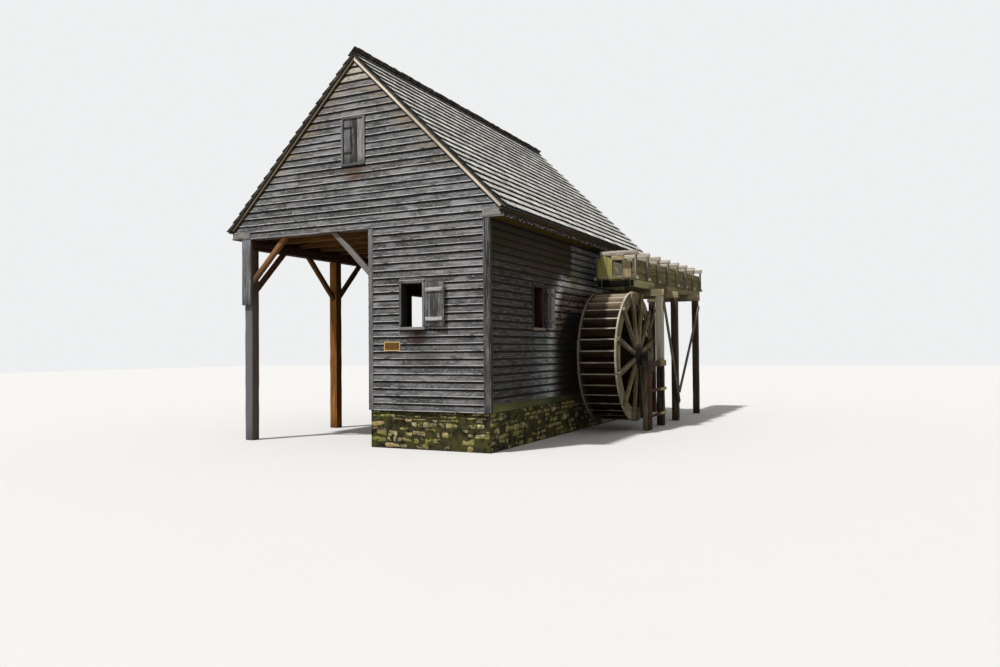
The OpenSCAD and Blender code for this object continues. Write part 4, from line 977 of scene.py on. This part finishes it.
def shingles(side):
    # Wedges in courses: each is a five-cornered outline across the slope, carried over its own width
    found, gap = [], roof["gap"] / 2
    for course in range(roof["courses"] + 1):
        buttAt = slopeLength - course * roof["exposure"]
        if buttAt < 0.06:
            break
        for y0, y1 in cutRun(roofFront, roofBack, roof["width"], roof["narrowest"], 0.5 if course % 2 else 1.0):
            found.append((buttAt, y0 + gap * (y0 > roofFront), y1 - gap * (y1 < roofBack), course))
    table = np.array(found)
    count = len(table)
    uneven = np.clip(chance.normal(-0.003, roof["uneven"], count), -roof["farthestUp"], 0.0) * (table[:, 3] > 0)
    butt = (table[:, 0] + uneven)[:, None]
    top = np.maximum(butt - roof["exposure"] - roof["lap"], 0.004)
    lifted = -chance.uniform(0, roof["lift"], (count, 1))
    fallen = lifted - roof["headDrop"]
    tilt = chance.uniform(-roof["tilt"], 0.0, (count, 2))
    downs = np.stack([down + 0 * tilt for down in (top, top, butt - 0.02 * (butt - top), butt, butt)], 2)
    lifts = np.stack([lift + tilt for lift in (
        fallen - roof["thin"], fallen, lifted, lifted - 0.25 * roof["butt"], lifted - roof["butt"])], 2)
    y = np.broadcast_to(table[:, 1:3, None], downs.shape)
    points, grain = roofPlace(side, downs, lifts, y), shifted(np.stack([downs, y, lifts], -1))
    tones = np.broadcast_to(boardTones(count, 1.3)[:, None, None, :], points.shape).copy()
    # 1 on the butt's end grain, which is painted dark as shade, and falling from 0 to -1 under the course above
    tones[..., 2] = [-1, -1, 0, 1, 1]
    return loftShell(points, grain, tones)


def deckBoards(side):
    # Roof boards under the shingles, along the ridge
    inset, gap = roof["deckInset"], roof["deckGap"] / 2
    edges = np.linspace(roof["deckStart"], slopeLength - inset, roof["deckBoards"] + 1)
    ends, lifts = (roofFront + inset, roofBack - inset), (-roofThick, roof["deck"] - roofThick)
    corners = [eight(lambda y, down, lift: roofPlace(side, down, lift, y), ends, (a + gap, b - gap), lifts)
               for a, b in zip(edges[:-1], edges[1:])]
    return boards(corners, deckStyle)


def combShingles():
    # The left slope's last shingles, run past the ridge to ragged tips
    up = (high("ridge_comb", axisX) - middle) / math.cos(pitch)
    corners, gap = [], comb["gap"] / 2
    for y0, y1 in cutRun(*spans("ridge_comb")[axisY], comb["width"], roof["narrowest"]):
        tip, under = chance.uniform(0.0, comb["ragged"]) - up, 0.0005 + chance.uniform(0.0, 0.0012)
        ends = ((tip, comb["thick"] * 0.92), (comb["length"] - up + chance.uniform(-0.01, 0.0), comb["thick"]))
        corners.append(eight(lambda end, y, upper: roofPlace(-1, end[0], end[1] if upper else under, y),
                             ends, (y0 + gap, y1 - gap), (False, True)))
    return boards(corners, combStyle, boardTones(len(corners), 1.2))


for side, name in ((1, "right"), (-1, "left")):
    makePiece(name + "_shingles", "shingles", "shingleWood", [shingles(side)], [name + "_roof"])
    makePiece(name + "_roof_boards", "brown_boards", "combWood", [deckBoards(side)])
makePiece("comb_shingles", "shingles", "combWood", [combShingles()], ["ridge_comb"])
print("roof shingled")


masonry = {"course": (0.045, 0.11), "stone": (0.07, 0.30), "proud": 0.014, "deep": 0.05, "gap": 0.010,
           "skew": 0.034, "lean": 0.018, "leastCourse": 0.05, "leastStone": 0.08}
stoneStyle = {"stations": 4, "edge": 0.020, "wear": 0.7, "rough": 0.011, "wave": 0.12, "corner": 3}


def stoneFace(place, start, end, top):
    # Rough courses of stones along one face: place(a, h, out) gives a point on it
    corners, gap = [], np.array([1, -1]) * masonry["gap"] / 2
    for z0, z1 in cutRun(0.0, top, masonry["course"], masonry["leastCourse"]):
        for a0, a1 in cutRun(start, end, masonry["stone"], masonry["leastStone"]):
            proud = chance.uniform(-0.004, masonry["proud"])
            skew = chance.uniform(-masonry["skew"], masonry["skew"], (2, 2))
            lean = chance.uniform(-masonry["lean"], masonry["lean"], (2, 2))
            a = np.clip(((a0, a1) + gap)[:, None] + lean, start, end)
            h = np.clip((z0, z1) + gap + skew * 0.5, 0.001, top)
            corners.append(np.stack([stacked(*place(a, h, out)) for out in (-masonry["deep"], proud)], 2))
    return boards(corners, stoneStyle, boardTones(len(corners), 1.3))


def foundation():
    # Stones on the four faces of the foundation
    (x0, x1), (y0, y1), (_, top) = spans("stone_foundation")
    faces = [(lambda a, h, out: (a, y0 - out, h), x0, x1), (lambda a, h, out: (a, y1 + out, h), x0, x1),
             (lambda a, h, out: (x0 - out, a, h), y0, y1), (lambda a, h, out: (x1 + out, a, h), y0, y1)]
    return [stoneFace(*face, top) for face in faces]


makePiece("foundation_stones", "fieldstone", "fieldstone", foundation())
print("stones laid")


def plate(outline, y):
    # A block between two depths: outline holds two corners (x, z) for each end of its length
    return np.array([[[(x, depth, z) for depth in y] for x, z in end] for end in outline], float)


def cornerBoards():
    # Two boards round the wheel side's corner; the room's corner casing, and casings round the bay's
    # corner post
    (postX0, postX1), (postY, _), _ = spans("bay_posts")
    face, tall = (front - corner["thick"], front), (stoneTop, soffit)
    postTall = levels("corner_boards", axisZ)[1], head
    wheelSide = [block((right - corner["front"], right - 0.002), face, tall, axisZ),
                 block((right, right + corner["thick"]), (face[0], front + corner["side"]), tall, axisZ)]
    baySide = [block((bay, bay + corner["bay"]), face, (stoneTop, head), axisZ),
               block((left, postX1), (face[0], postY), postTall, axisZ),
               block((left, postX0), (postY, postY + postX1 - postX0), postTall, axisZ)]
    return wheelSide, baySide


rake = {"wide": 0.060, "returnTall": 0.125, "returnLean": 0.070}


def rakeBoards():
    # Sloping boards under the roof's edge, and the short level returns that close the boxed eaves
    y, reach = (low("rake_boards", axisY), front), high("rake_boards", axisX) - middle
    wide, endZ = rake["wide"] / math.cos(pitch), apex - reach * slope
    returnLow, returnHigh, lean = soffit, soffit + rake["returnTall"], rake["returnLean"]
    rakes, returns = [], []
    for side, inside in ((1, corner["front"] - 0.001), (-1, high("bay_posts", axisX) - left)):
        near, far = middle + side * (right - middle - inside), middle + side * reach
        foot = [(far, endZ), (far - side * wide / 2, endZ - wide / 2)]
        rakes.append(plate([[(middle, apex), (middle, apex - wide)], foot], y))
        returns.append(plate([[(near, returnLow), (near, returnHigh)],
                              [(far, returnLow), (far - side * lean, returnHigh)]], y))
    return rakes, returns


def casing(centre, size, proud=0.030, ear=0.012):
    # A casing round an opening, as deep as the wall, with a sill that may stand out;
    # y is counted from the wall's face
    wallY = high("front_wall", axisY) - low("front_wall", axisY)
    sill, top, out = size["sill"], size["sill"] + size["tall"], size.get("sillOut", 0.0)
    x0, x1, low1, high1 = opening(centre, size)
    ear = ear if out else 0.0
    return [block((x0, centre - size["half"]), (-proud, wallY), (sill, top), axisZ),
            block((centre + size["half"], x1), (-proud, wallY), (sill, top), axisZ),
            block((x0, x1), (-proud, wallY), (top, high1)),
            block((x0 - ear, x1 + ear), (-max(out, proud), 0.0), (low1, sill)),
            block((x0, x1), (0.0, wallY), (low1, sill))]


def onFront(corners, x=0.0):
    # Blocks whose y is counted from a wall's face, put on the front wall
    return list(np.array(corners) + [x, front, 0.0])


def onSide(corners, y=0.0):
    # The same blocks on the right wall: their x runs back along it
    x, depth, z = np.moveaxis(np.array(corners), -1, 0)
    return list(stacked(right - depth, y + x, z))


shutter = {"leaf": 0.38, "thick": 0.025, "batten": 0.020, "battenWide": 0.062, "openBy": math.radians(8),
           # brightness, warmth and bleaching of three boards and two battens: the middle board is dark,
           # and the battens are bleached
           "endTones": [[0.30, 0.4, 0.15], [0.02, 0.5, 0.0], [0.30, 0.3, 0.10], [1.0, 0.4, 1.0], [0.6, 0.5, 0.8]],
           "sideTones": [[0.0, 0.5, 0.0], [0.25, 0.3, 0.10], [1.0, 0.1, 0.75], [0.45, 0.4, 0.15], [0.25, 0.4, 0.10]],
           "loftTones": [[0.50, 0.4, 0.15], [0.15, 0.5, 0.0], [0.84, 0.3, 0.52]], "toneSpread": 0.03,
           "loftY": (-0.015, 0.010), "loftBoard": 0.13, "standOff": 0.005,
           "strapX": (-0.23, -0.03), "strapZ": (0.16, 0.57), "strapWide": 0.032, "strapThick": 0.006}


def openShutters():
    # Three upright boards and two battens a leaf, turned out round the outer edge of the casing on which it hangs
    leaf, thick, tall, turn = shutter["leaf"], shutter["thick"], window["tall"], shutter["openBy"]
    parts = planks((0.0, leaf), (-thick, 0.0), (0.0, tall), axisZ, axisX, leaf / 3)
    for z in (tall / 8, tall * 7 / 8 - shutter["battenWide"]):
        parts.append(block((leaf / 16, leaf * 15 / 16), (-thick - shutter["batten"], -thick),
                           (z, z + shutter["battenWide"])))
    x, y, z = np.moveaxis(np.array(parts), -1, 0)
    hinge = window["half"] + frameTrim + thick * math.sin(turn) + clear
    leaves = stacked(x * math.cos(turn) + y * math.sin(turn) + hinge,
                     y * math.cos(turn) - x * math.sin(turn) - shutter["standOff"], z + window["sill"])
    tones = np.array(shutter["endTones"] * 2 + shutter["sideTones"])
    tones += chance.normal(0, shutter["toneSpread"], tones.shape) * [1, 1, 0]
    return boards(bothEnds(onFront(leaves, window["x"])) + onSide(leaves, window["sideY"]), fine, tones)


def closedShutters():
    # The closed loft shutters: three boards
    reach = loft["half"] - clear
    parts = planks((loft["x"] - reach, loft["x"] + reach), [front + y for y in shutter["loftY"]],
                   (loft["sill"] + clear, loft["sill"] + loft["tall"] - clear), axisZ, axisX, shutter["loftBoard"])
    return boards(bothEnds(parts), fine, np.tile(shutter["loftTones"], (2, 1)))


def straps():
    # Iron straps at the left of the closed shutters
    y, x = front + shutter["loftY"][0], [loft["x"] + a for a in shutter["strapX"]]
    parts = [block(x, (y - shutter["strapThick"], y), (loft["sill"] + z, loft["sill"] + z + shutter["strapWide"]))
             for z in shutter["strapZ"]]
    return boards(bothEnds(parts), {**fine, "edge": 0.002})


wheelCorner, bayCorner = cornerBoards()
slopingBoards, eaveReturns = rakeBoards()
stripDeep, stripTall = corner["strip"]
gableStrip = block((high("bay_posts", axisX), bay), (front - stripDeep, front), (head, head + stripTall))
endCasings = onFront(casing(window["x"], window) + casing(loft["x"], loft))
for name, finish, blocks, nodes in (
        ("corner_casings", "cornerWood", bothEnds(wheelCorner), ["corner_boards"]),
        ("bay_casings", "trimWood", bothEnds(bayCorner), ["corner_boards"]),
        ("gable_strip", "trimWood", [gableStrip], []),
        ("rake_trim", "rakeWood", bothEnds(slopingBoards), ["rake_boards"]),
        ("eave_returns", "returnWood", bothEnds(eaveReturns), ["rake_boards"]),
        ("window_casings", "casingWood", bothEnds(endCasings), ["window_frames", "loft_frames"]),
        ("side_casing", "sideCasingWood", onSide(casing(window["sideY"], window)), ["window_frames"])):
    makePiece(name, "trim_boards", finish, [boards(blocks, fine)], nodes)
makePiece("open_shutters", "shutter_boards", "shutterWood", [openShutters()], ["room_shutters"])
makePiece("closed_shutters", "shutter_boards", "shutterWood", [closedShutters()], ["loft_shutters"])
makePiece("loft_straps", "dark_iron", "oldIron", [straps()])
print("trim and shutters fitted")


def makeTimbers(rows):
    # CAD nodes of six-sided solids as worn timbers
    for name, slotName, finish, node, style in rows:
        makePiece(name, slotName, finish, [boards(nodeBlocks(node), style)], [node])


makeTimbers([("bay_timbers", "frame_timber", "timberWood", "bay_posts", heavy),
             ("plate_timber", "frame_timber", "plateWood", "bay_plate", heavy),
             ("brace_timbers", "frame_timber", "braceWood", "knee_braces", middling),
             ("joist_timbers", "brown_boards", "joistWood", "ceiling_joists", middling)])
for name, finish, node, width, length in (("loft_boards", "joistWood", "loft_floor", 0.18, 3.0),
                                          ("floor_boards", "insideWood", "room_floor", 0.17, 2.6)):
    floorBoards = planks(*spans(node), axisY, axisX, width, lengths=length)
    makePiece(name, "brown_boards", finish, [boards(floorBoards, fine)], [node])
print("timber frame raised")


wheel = {"arms": 12, "buckets": 36, "bend": 0.45, "lipAt": 0.7, "slant": 0.35,
         "bucketThick": 0.026, "staveThick": 0.025,
         "rimGap": 0.0016, "staveGap": 0.0015, "meanRadius": 1.1,
         "bleachedLitRim": 0.0035, "bleachedLitLip": 0.0235,      # how wide the pale edges of the rims and of the buckets are: bleached wood and a painted highlight
         "boltRadius": 0.014, "boltTall": 0.010, "boltInset": 0.06, "hubBolts": 0.206}
outer = (high("outer_rim", axisZ) - low("outer_rim", axisZ)) / 2
sole = np.hypot(*(nodePoints("wheel_sole") - (0, axleY, axleZ))[:, 1:].T).max()
armTurn, bucketTurn = 2 * np.pi / wheel["arms"], 2 * np.pi / wheel["buckets"]


def bleachedAndLitEdge(shell, radius):
    # The third tone value of a shell, set to 1 past a radius from the axle and to 0 inside it,
    # so that the edge is paled: partly bleached wood, partly a painted highlight on the rims and lips
    distance = np.hypot(shell["points"][:, 1] - axleY, shell["points"][:, 2] - axleZ)
    tone = np.array(shell["tone"])
    tone[:, 2] = np.clip((distance - radius) / 0.001, 0, 1)
    return {**shell, "tone": tone}


def rimShell(node):
    # Segments of a ring, jointed behind the arms
    start, x, gap = (np.arange(wheel["arms"]) - 0.5) * armTurn, spans(node)[axisX], wheel["rimGap"]
    place = arcPlace(sole, outer, start + gap, start + armTurn - gap, x)
    size = np.tile([armTurn * wheel["meanRadius"], outer - sole, x[1] - x[0]], (wheel["arms"], 1))
    shell = wornShell(place, size, {"stations": 16, "edge": 0.005, "wear": 0.6, "rough": 0.0012, "corner": 3})
    return bleachedAndLitEdge(shell, outer - wheel["bleachedLitRim"])


def bucketShells():
    # Each bucket is a riser off the drum and a float slanted to the rim: four-cornered outlines
    # (radius, sideways) that run along the axle
    half, bend = wheel["bucketThick"] / 2, sole + (outer - sole) * wheel["bend"]
    lip = bend + wheel["lipAt"] * (outer - bend)
    reach = math.sqrt(outer * outer - lip * lip) * wheel["slant"]
    inner, tip = sole + clear, outer - 2 * half
    outlines = [[(inner, half), (bend - half, half), (bend - half, -half), (inner, -half)],
                [(bend, half), (tip, half - reach), (tip, -half - reach), (bend - half, -half)]]
    blocks = [[], []]
    for number in range(wheel["buckets"]):
        cos, sin = math.cos(bucketTurn * number), math.sin(bucketTurn * number)
        for outline, out in zip(outlines, blocks):
            a, b, c, d = [(axleY + r * cos - t * sin, axleZ + r * sin + t * cos) for r, t in outline]
            out.append(np.array([[[(x, *a), (x, *d)], [(x, *b), (x, *c)]] for x in spans("wheel_buckets")[axisX]]))
    floatTone = boardTones(wheel["buckets"])
    riserTone = boardTones(wheel["buckets"])
    style = {**fine, "stations": 7}
    risers = boards(blocks[0], style, riserTone * [1, 1, 0])
    return [risers, bleachedAndLitEdge(boards(blocks[1], style, floatTone * [1, 1, 0]), outer - wheel["bleachedLitLip"])]


def staveShell():
    # Staves of the drum, one between each pair of buckets; they run along the axle, so s and v change places
    start, x = np.arange(wheel["buckets"]) * bucketTurn, spans("wheel_sole")[axisX]
    gap, thick = wheel["staveGap"], wheel["staveThick"]
    place = arcPlace(sole - thick, sole, start + gap, start + bucketTurn - gap, x)
    size = np.tile([x[1] - x[0], thick, bucketTurn * sole], (wheel["buckets"], 1))
    style, tones = {**fine, "stations": 5}, boardTones(wheel["buckets"]) * [1, 1, 0]
    return wornShell(lambda s, u, v: place(v, u, s), size, style, tones)


def wheelBolts():
    # Low six-sided heads on the arms' ends and the hub plates: rings round each bolt's place,
    # the last one drawn in
    bolts = (("wheel_arms", sole + wheel["boltInset"]), ("wheel_arms", outer - wheel["boltInset"]),
             ("hub_plates", wheel["hubBolts"]))
    places = [(high(node, axisX), *aroundAxle(radius, angle))
              for angle in (np.arange(wheel["arms"]) + 0.5) * armTurn for node, radius in bolts]
    x, y, z = np.array(places).T[:, :, None]
    turn, size = np.arange(6) * np.pi / 3, wheel["boltRadius"]
    points = np.stack([stacked(x + lift * wheel["boltTall"], y + share * np.cos(turn), z + share * np.sin(turn))
                       for lift, share in ((0.0, size), (0.7, size), (1.0, 0.72 * size))], 1)
    return loftShell(points, points, boardTones(len(points)))


def armTimbers():
    # Two timbers for each arm
    return [boards(nodeBlocks("wheel_arms"), middling, boardTones(2 * wheel["arms"]) * [1, 1, 0])]


for name, finish, make, nodes in (
        ("inner_rim_segments", "shadedInnerRimWood", lambda: [rimShell("inner_rim")], ["inner_rim"]),
        ("outer_rim_segments", "wheelWood", lambda: [rimShell("outer_rim")], ["outer_rim"]),
        ("arm_timbers", "wheelWood", armTimbers, ["wheel_arms"]),
        ("bucket_boards", "bucketWood", bucketShells, ["wheel_buckets"]),
        ("drum_staves", "bucketWood", lambda: [staveShell()], ["wheel_sole"])):
    makePiece(name, "wheel_wood", finish, make(), nodes, "wheel")
makePiece("wheel_bolts", "dark_iron", "oldIron", [wheelBolts()], body="wheel")
print("water wheel built")


def bearingTimbers():
    # The post under the outer bearing, with a rail and two rungs nailed over its face
    x, y, z = (levels("bearing_frame", axis) for axis in (axisX, axisY, axisZ))
    parts = [block(x[:2], y[:2], (z[0], z[-1]), axisZ)]
    return boards(parts + [block(x[1:3], (y[0], y[2]), z[number:number + 2], axisY) for number in (1, 3, 5)], heavy)


makeTimbers([("trestle_legs", "trestle_timber", "trestleWood", "trestle_posts", heavy),
             ("trestle_beams", "trestle_timber", "capWood", "trestle_caps", heavy),
             ("trestle_planks", "trestle_timber", "thinBraceWood", "trestle_braces", middling)])
makePiece("bearing_timbers", "trestle_timber", "bearingWood", [bearingTimbers()], ["bearing_frame"])
print("trestle set up")


def endHeights(node, y):
    # The lowest and the highest corner of a node at one of its ends
    points = nodePoints(node)
    heights = points[np.abs(points[:, axisY] - y) < 0.001, axisZ]
    return heights.min(), heights.max()


flume = {"side": 0.145, "floor": 0.20, "lengths": 1.7, "beam": 0.09, "beamLengths": 2.4,
         "beamBoard": 0.2, "foot": 0.026, "footTall": 0.060, "footInset": 0.004}
gate = {"thick": 0.034, "setBack": 0.005,
        # upright boards of the near end: (from, to, top at from, top at to), from the inner left side
        # and the floor
        "boards": [(-0.037, 0.036, 0.340, 0.429), (0.034, 0.142, 0.429, 0.418), (0.140, 0.256, 0.418, 0.352),
                   (0.270, 0.454, 0.310, 0.256), (0.457, 0.630, 0.330, 0.320)],
        "scrap": ((0.246, 0.486), (0.336, 0.4285)), "scrapY": (0.001, 0.05),      # a block under the first tie
        "splinter": ((0.290, 0.348, 0.200), (0.382, 0.398, 0.070)),      # (from, to, height) at top and foot
        "splinterY": (0.0005, 0.0047), "tieStart": 0.016}
troughX, flumeY, _ = spans("flume_floor")
beamX, _, (beamZ, _) = spans("flume_stringers")
nearY, farY = flumeY
floorZ, sideZ = endHeights("flume_floor", nearY), endHeights("flume_sides", nearY)
sideX = levels("flume_sides", axisX)
run = {"fall": (endHeights("flume_floor", farY)[0] - floorZ[0]) / (farY - nearY), "fallFrom": nearY}


def troughPlanks():
    # The trough's floor boards, its two sides and its far end
    side = sideX[1] - sideX[0]
    parts = planks(troughX, flumeY, floorZ, axisX, axisY, flume["floor"], **run)
    for x, start in (((sideX[0], sideX[0] + side), gate["thick"] + 0.002), ((sideX[-1] - side, sideX[-1]), 0.0)):
        parts += planks(x, (nearY + start, farY), sideZ,
                        axisY, axisZ, flume["side"], 0.005, flume["lengths"], **run)
    parts += planks((sideX[0] + side, sideX[-1] - side), (farY - side, farY), (floorZ[1] + clear, sideZ[1]),
                    axisX, axisZ, flume["side"], **run)
    return boards(parts, {**fine, "edge": 0.006, "rough": 0.003})


def nearEnd():
    # Upright boards broken off at a slant, up to the first tie where they are whole, and a scrap under the tie
    foot, x, y = floorZ[1] + clear, sideX[1], (nearY + gate["setBack"], nearY + gate["thick"])
    parts = [plate([[(x + x0, foot), (x + x1, foot)], [(x + x0, foot + top0), (x + x1, foot + top1)]], y)
             for x0, x1, top0, top1 in gate["boards"]]
    (x0, x1), (z0, z1) = gate["scrap"]
    parts.append(block((x + x0, x + x1), [nearY + y for y in gate["scrapY"]], (foot + z0, foot + z1)))
    return boards(parts, {**fine, "edge": 0.004, "rough": 0.003})


def splinter():
    # A light splinter on the broken boards, which narrows from its top to its foot
    outline = [[(sideX[1] + x, floorZ[1] + z) for x in (x0, x1)] for x0, x1, z in gate["splinter"]]
    parts = [plate(outline, [nearY + y for y in gate["splinterY"]])]
    return boards(parts, {**fine, "edge": 0.001, "rough": 0.0005})


def ties():
    # Boards across the top of the trough; the first stops at the near end's boards
    parts = sorted(nodeBlocks("flume_ties"), key=lambda one: one[..., 1].min())
    x = parts[0][..., 0]
    x[x < sideX[1]] = sideX[1] + gate["tieStart"]
    return boards(parts, middling)


def cleatFeet():
    # A short block on the foot of each cleat, on both sides of the trough
    parts, inset = [], flume["footInset"]
    for cleat in nodeBlocks("flume_cleats"):
        (x0, y0, z0), (x1, y1, _) = cleat.min((0, 1, 2)), cleat.max((0, 1, 2))
        x = (x1 + clear, x1 + flume["foot"]) if x0 > sum(troughX) / 2 else (x0 - flume["foot"], x0 - clear)
        parts.append(block(x, (y0 + inset, y1 - inset), (z0 + inset, z0 + flume["footTall"]), axisY))
    return boards(parts, fine)


def troughBeams():
    # The two beams under the trough, and the pieces between them at both ends
    z, wide, parts = (beamZ, sideZ[0] - clear), flume["beam"], []
    for x in ((beamX[0], beamX[0] + wide), (beamX[1] - wide, beamX[1])):
        parts += planks(x, flumeY, z, axisY, axisX, flume["beamBoard"], lengths=flume["beamLengths"], **run)
    for y in ((nearY, nearY + wide), (farY - wide, farY)):
        parts.append(block((beamX[0] + wide, beamX[1] - wide), y, z, **run))
    return boards(parts, heavy)


for name, finish, make, nodes in (
        ("trough_planks", "flumeWood", troughPlanks, ["flume_floor", "flume_sides"]),
        ("near_end_boards", "gateWood", nearEnd, ["flume_sides"]),
        ("near_end_splinter", "cleatWood", splinter, []), ("cleat_feet", "tieWood", cleatFeet, []),
        ("trough_beams", "beamWood", troughBeams, ["flume_stringers"]),
        ("trough_cleats", "cleatWood", lambda: boards(nodeBlocks("flume_cleats"), middling), ["flume_cleats"]),
        ("trough_ties", "tieWood", ties, ["flume_ties"])):
    makePiece(name, "mossy_planks", finish, [make()], nodes)
print("flume laid")


kept = {"insideXWood": ("front_wall", "back_wall", "front_gable", "back_gable"),
        "insideYWood": ("right_wall", "bay_wall_front", "bay_wall_back", "bay_wall_lintel", "left_knee_wall"),
        "eaveWood": ("eave_boxes",), "hubXWood": ("wheel_hub",), "agedPlate": ("plaque",),
        "mortar": ("stone_foundation",),
        "oldIron": ("axle", "hub_plates", "wall_bearing", "outer_bearing")}
for finish, nodes in kept.items():
    for node in nodes:
        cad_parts[node].data.materials.clear()
        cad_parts[node].data.materials.append(finishes[finish])
print("CAD nodes finished")


studio = {"floor": (0.60, 0.595, 0.58), "floorBounce": (0.28, 0.275, 0.265), "floorReach": 60.0,
          "sunStrength": 3.95, "sunAngle": 3.0, "sunFrom": (-0.26, -0.50, 1.05),
          "skyStrength": 0.42, "skyColour": (1.0, 0.985, 0.955), "paleSky": (0.86, 0.865, 0.87)}
view = {"spot": (7.298, -15.392, 1.535), "yaw": 0.4561, "pitch": 0.02156, "roll": -0.0085,
        "focalPixels": 791.5, "imageWidth": 1000}


def seenRay():
    # 1 for what the camera sees, also in a mirror or through glass, and 0 for light that bounces on
    seen, glossy, through = (put("LightPath", out=ray)
                             for ray in ("Is Camera Ray", "Is Glossy Ray", "Is Transmission Ray"))
    return maths("MAXIMUM", seen, maths("MAXIMUM", glossy, through))


def makeFloor():
    # A pale floor, from which less light bounces than its colour shows
    reach = studio["floorReach"]
    mesh = bpy.data.meshes.new("floor")
    corners = [(-reach, -reach, 0), (reach, -reach, 0), (reach, reach, 0), (-reach, reach, 0)]
    mesh.from_pydata(corners, [], [(0, 1, 2, 3)])
    floor = bpy.data.objects.new("floor", mesh)
    bpy.context.scene.collection.objects.link(floor)
    colour = mix(noise(startMaterial("paleFloor"), 2.0, 4.0, 0.6) * 0.08, studio["floor"], (0.5, 0.5, 0.49))
    colour = mix(seenRay(), studio["floorBounce"], colour)
    put("OutputMaterial", {"Surface": put("BsdfPrincipled", {"Base Color": colour, "Roughness": 0.9})})
    mesh.materials.append(finishes["paleFloor"])


def makeLights():
    # A soft sun, and a sky that the camera sees as a pale backdrop
    sun = bpy.data.lights.new("sun", "SUN")
    sun.energy, sun.angle = studio["sunStrength"], math.radians(studio["sunAngle"])
    lamp = bpy.data.objects.new("sun", sun)
    lamp.rotation_euler = Vector(studio["sunFrom"]).to_track_quat("Z", "Y").to_euler()
    bpy.context.scene.collection.objects.link(lamp)
    world = bpy.data.worlds.new("studioSky")
    world.use_nodes = True
    bpy.context.scene.world = world
    startTree(world.node_tree)
    soft = put("Background", {"Color": studio["skyColour"], "Strength": studio["skyStrength"]})
    pale = put("Background", {"Color": studio["paleSky"], "Strength": 1.0})
    put("OutputWorld", {"Surface": put("MixShader", {0: seenRay(), 1: soft, 2: pale})})


def makeCamera():
    # Yaw turns left from straight back, pitch lifts and roll turns the picture;
    # the lens comes from the focal length in pixels
    yaw, lift, roll = view["yaw"], view["pitch"], view["roll"]
    forward = Vector((-math.sin(yaw) * math.cos(lift), math.cos(yaw) * math.cos(lift), math.sin(lift)))
    across = Vector((math.cos(yaw), math.sin(yaw), 0))
    up = across.cross(forward)
    turnedAcross = math.cos(roll) * across + math.sin(roll) * up
    turnedUp = math.cos(roll) * up - math.sin(roll) * across
    camera = bpy.data.cameras.new("camera")
    camera.sensor_width, camera.clip_end = 36.0, 300.0
    camera.lens = view["focalPixels"] / view["imageWidth"] * camera.sensor_width
    holder = bpy.data.objects.new("camera", camera)
    facingBack = Matrix((turnedAcross, turnedUp, -forward)).transposed().to_4x4()
    holder.matrix_world = Matrix.Translation(view["spot"]) @ facingBack
    bpy.context.scene.collection.objects.link(holder)
    bpy.context.scene.camera = holder


makeFloor()
makeLights()
makeCamera()
bpy.context.scene.view_settings.view_transform = "Standard"
print("studio ready")
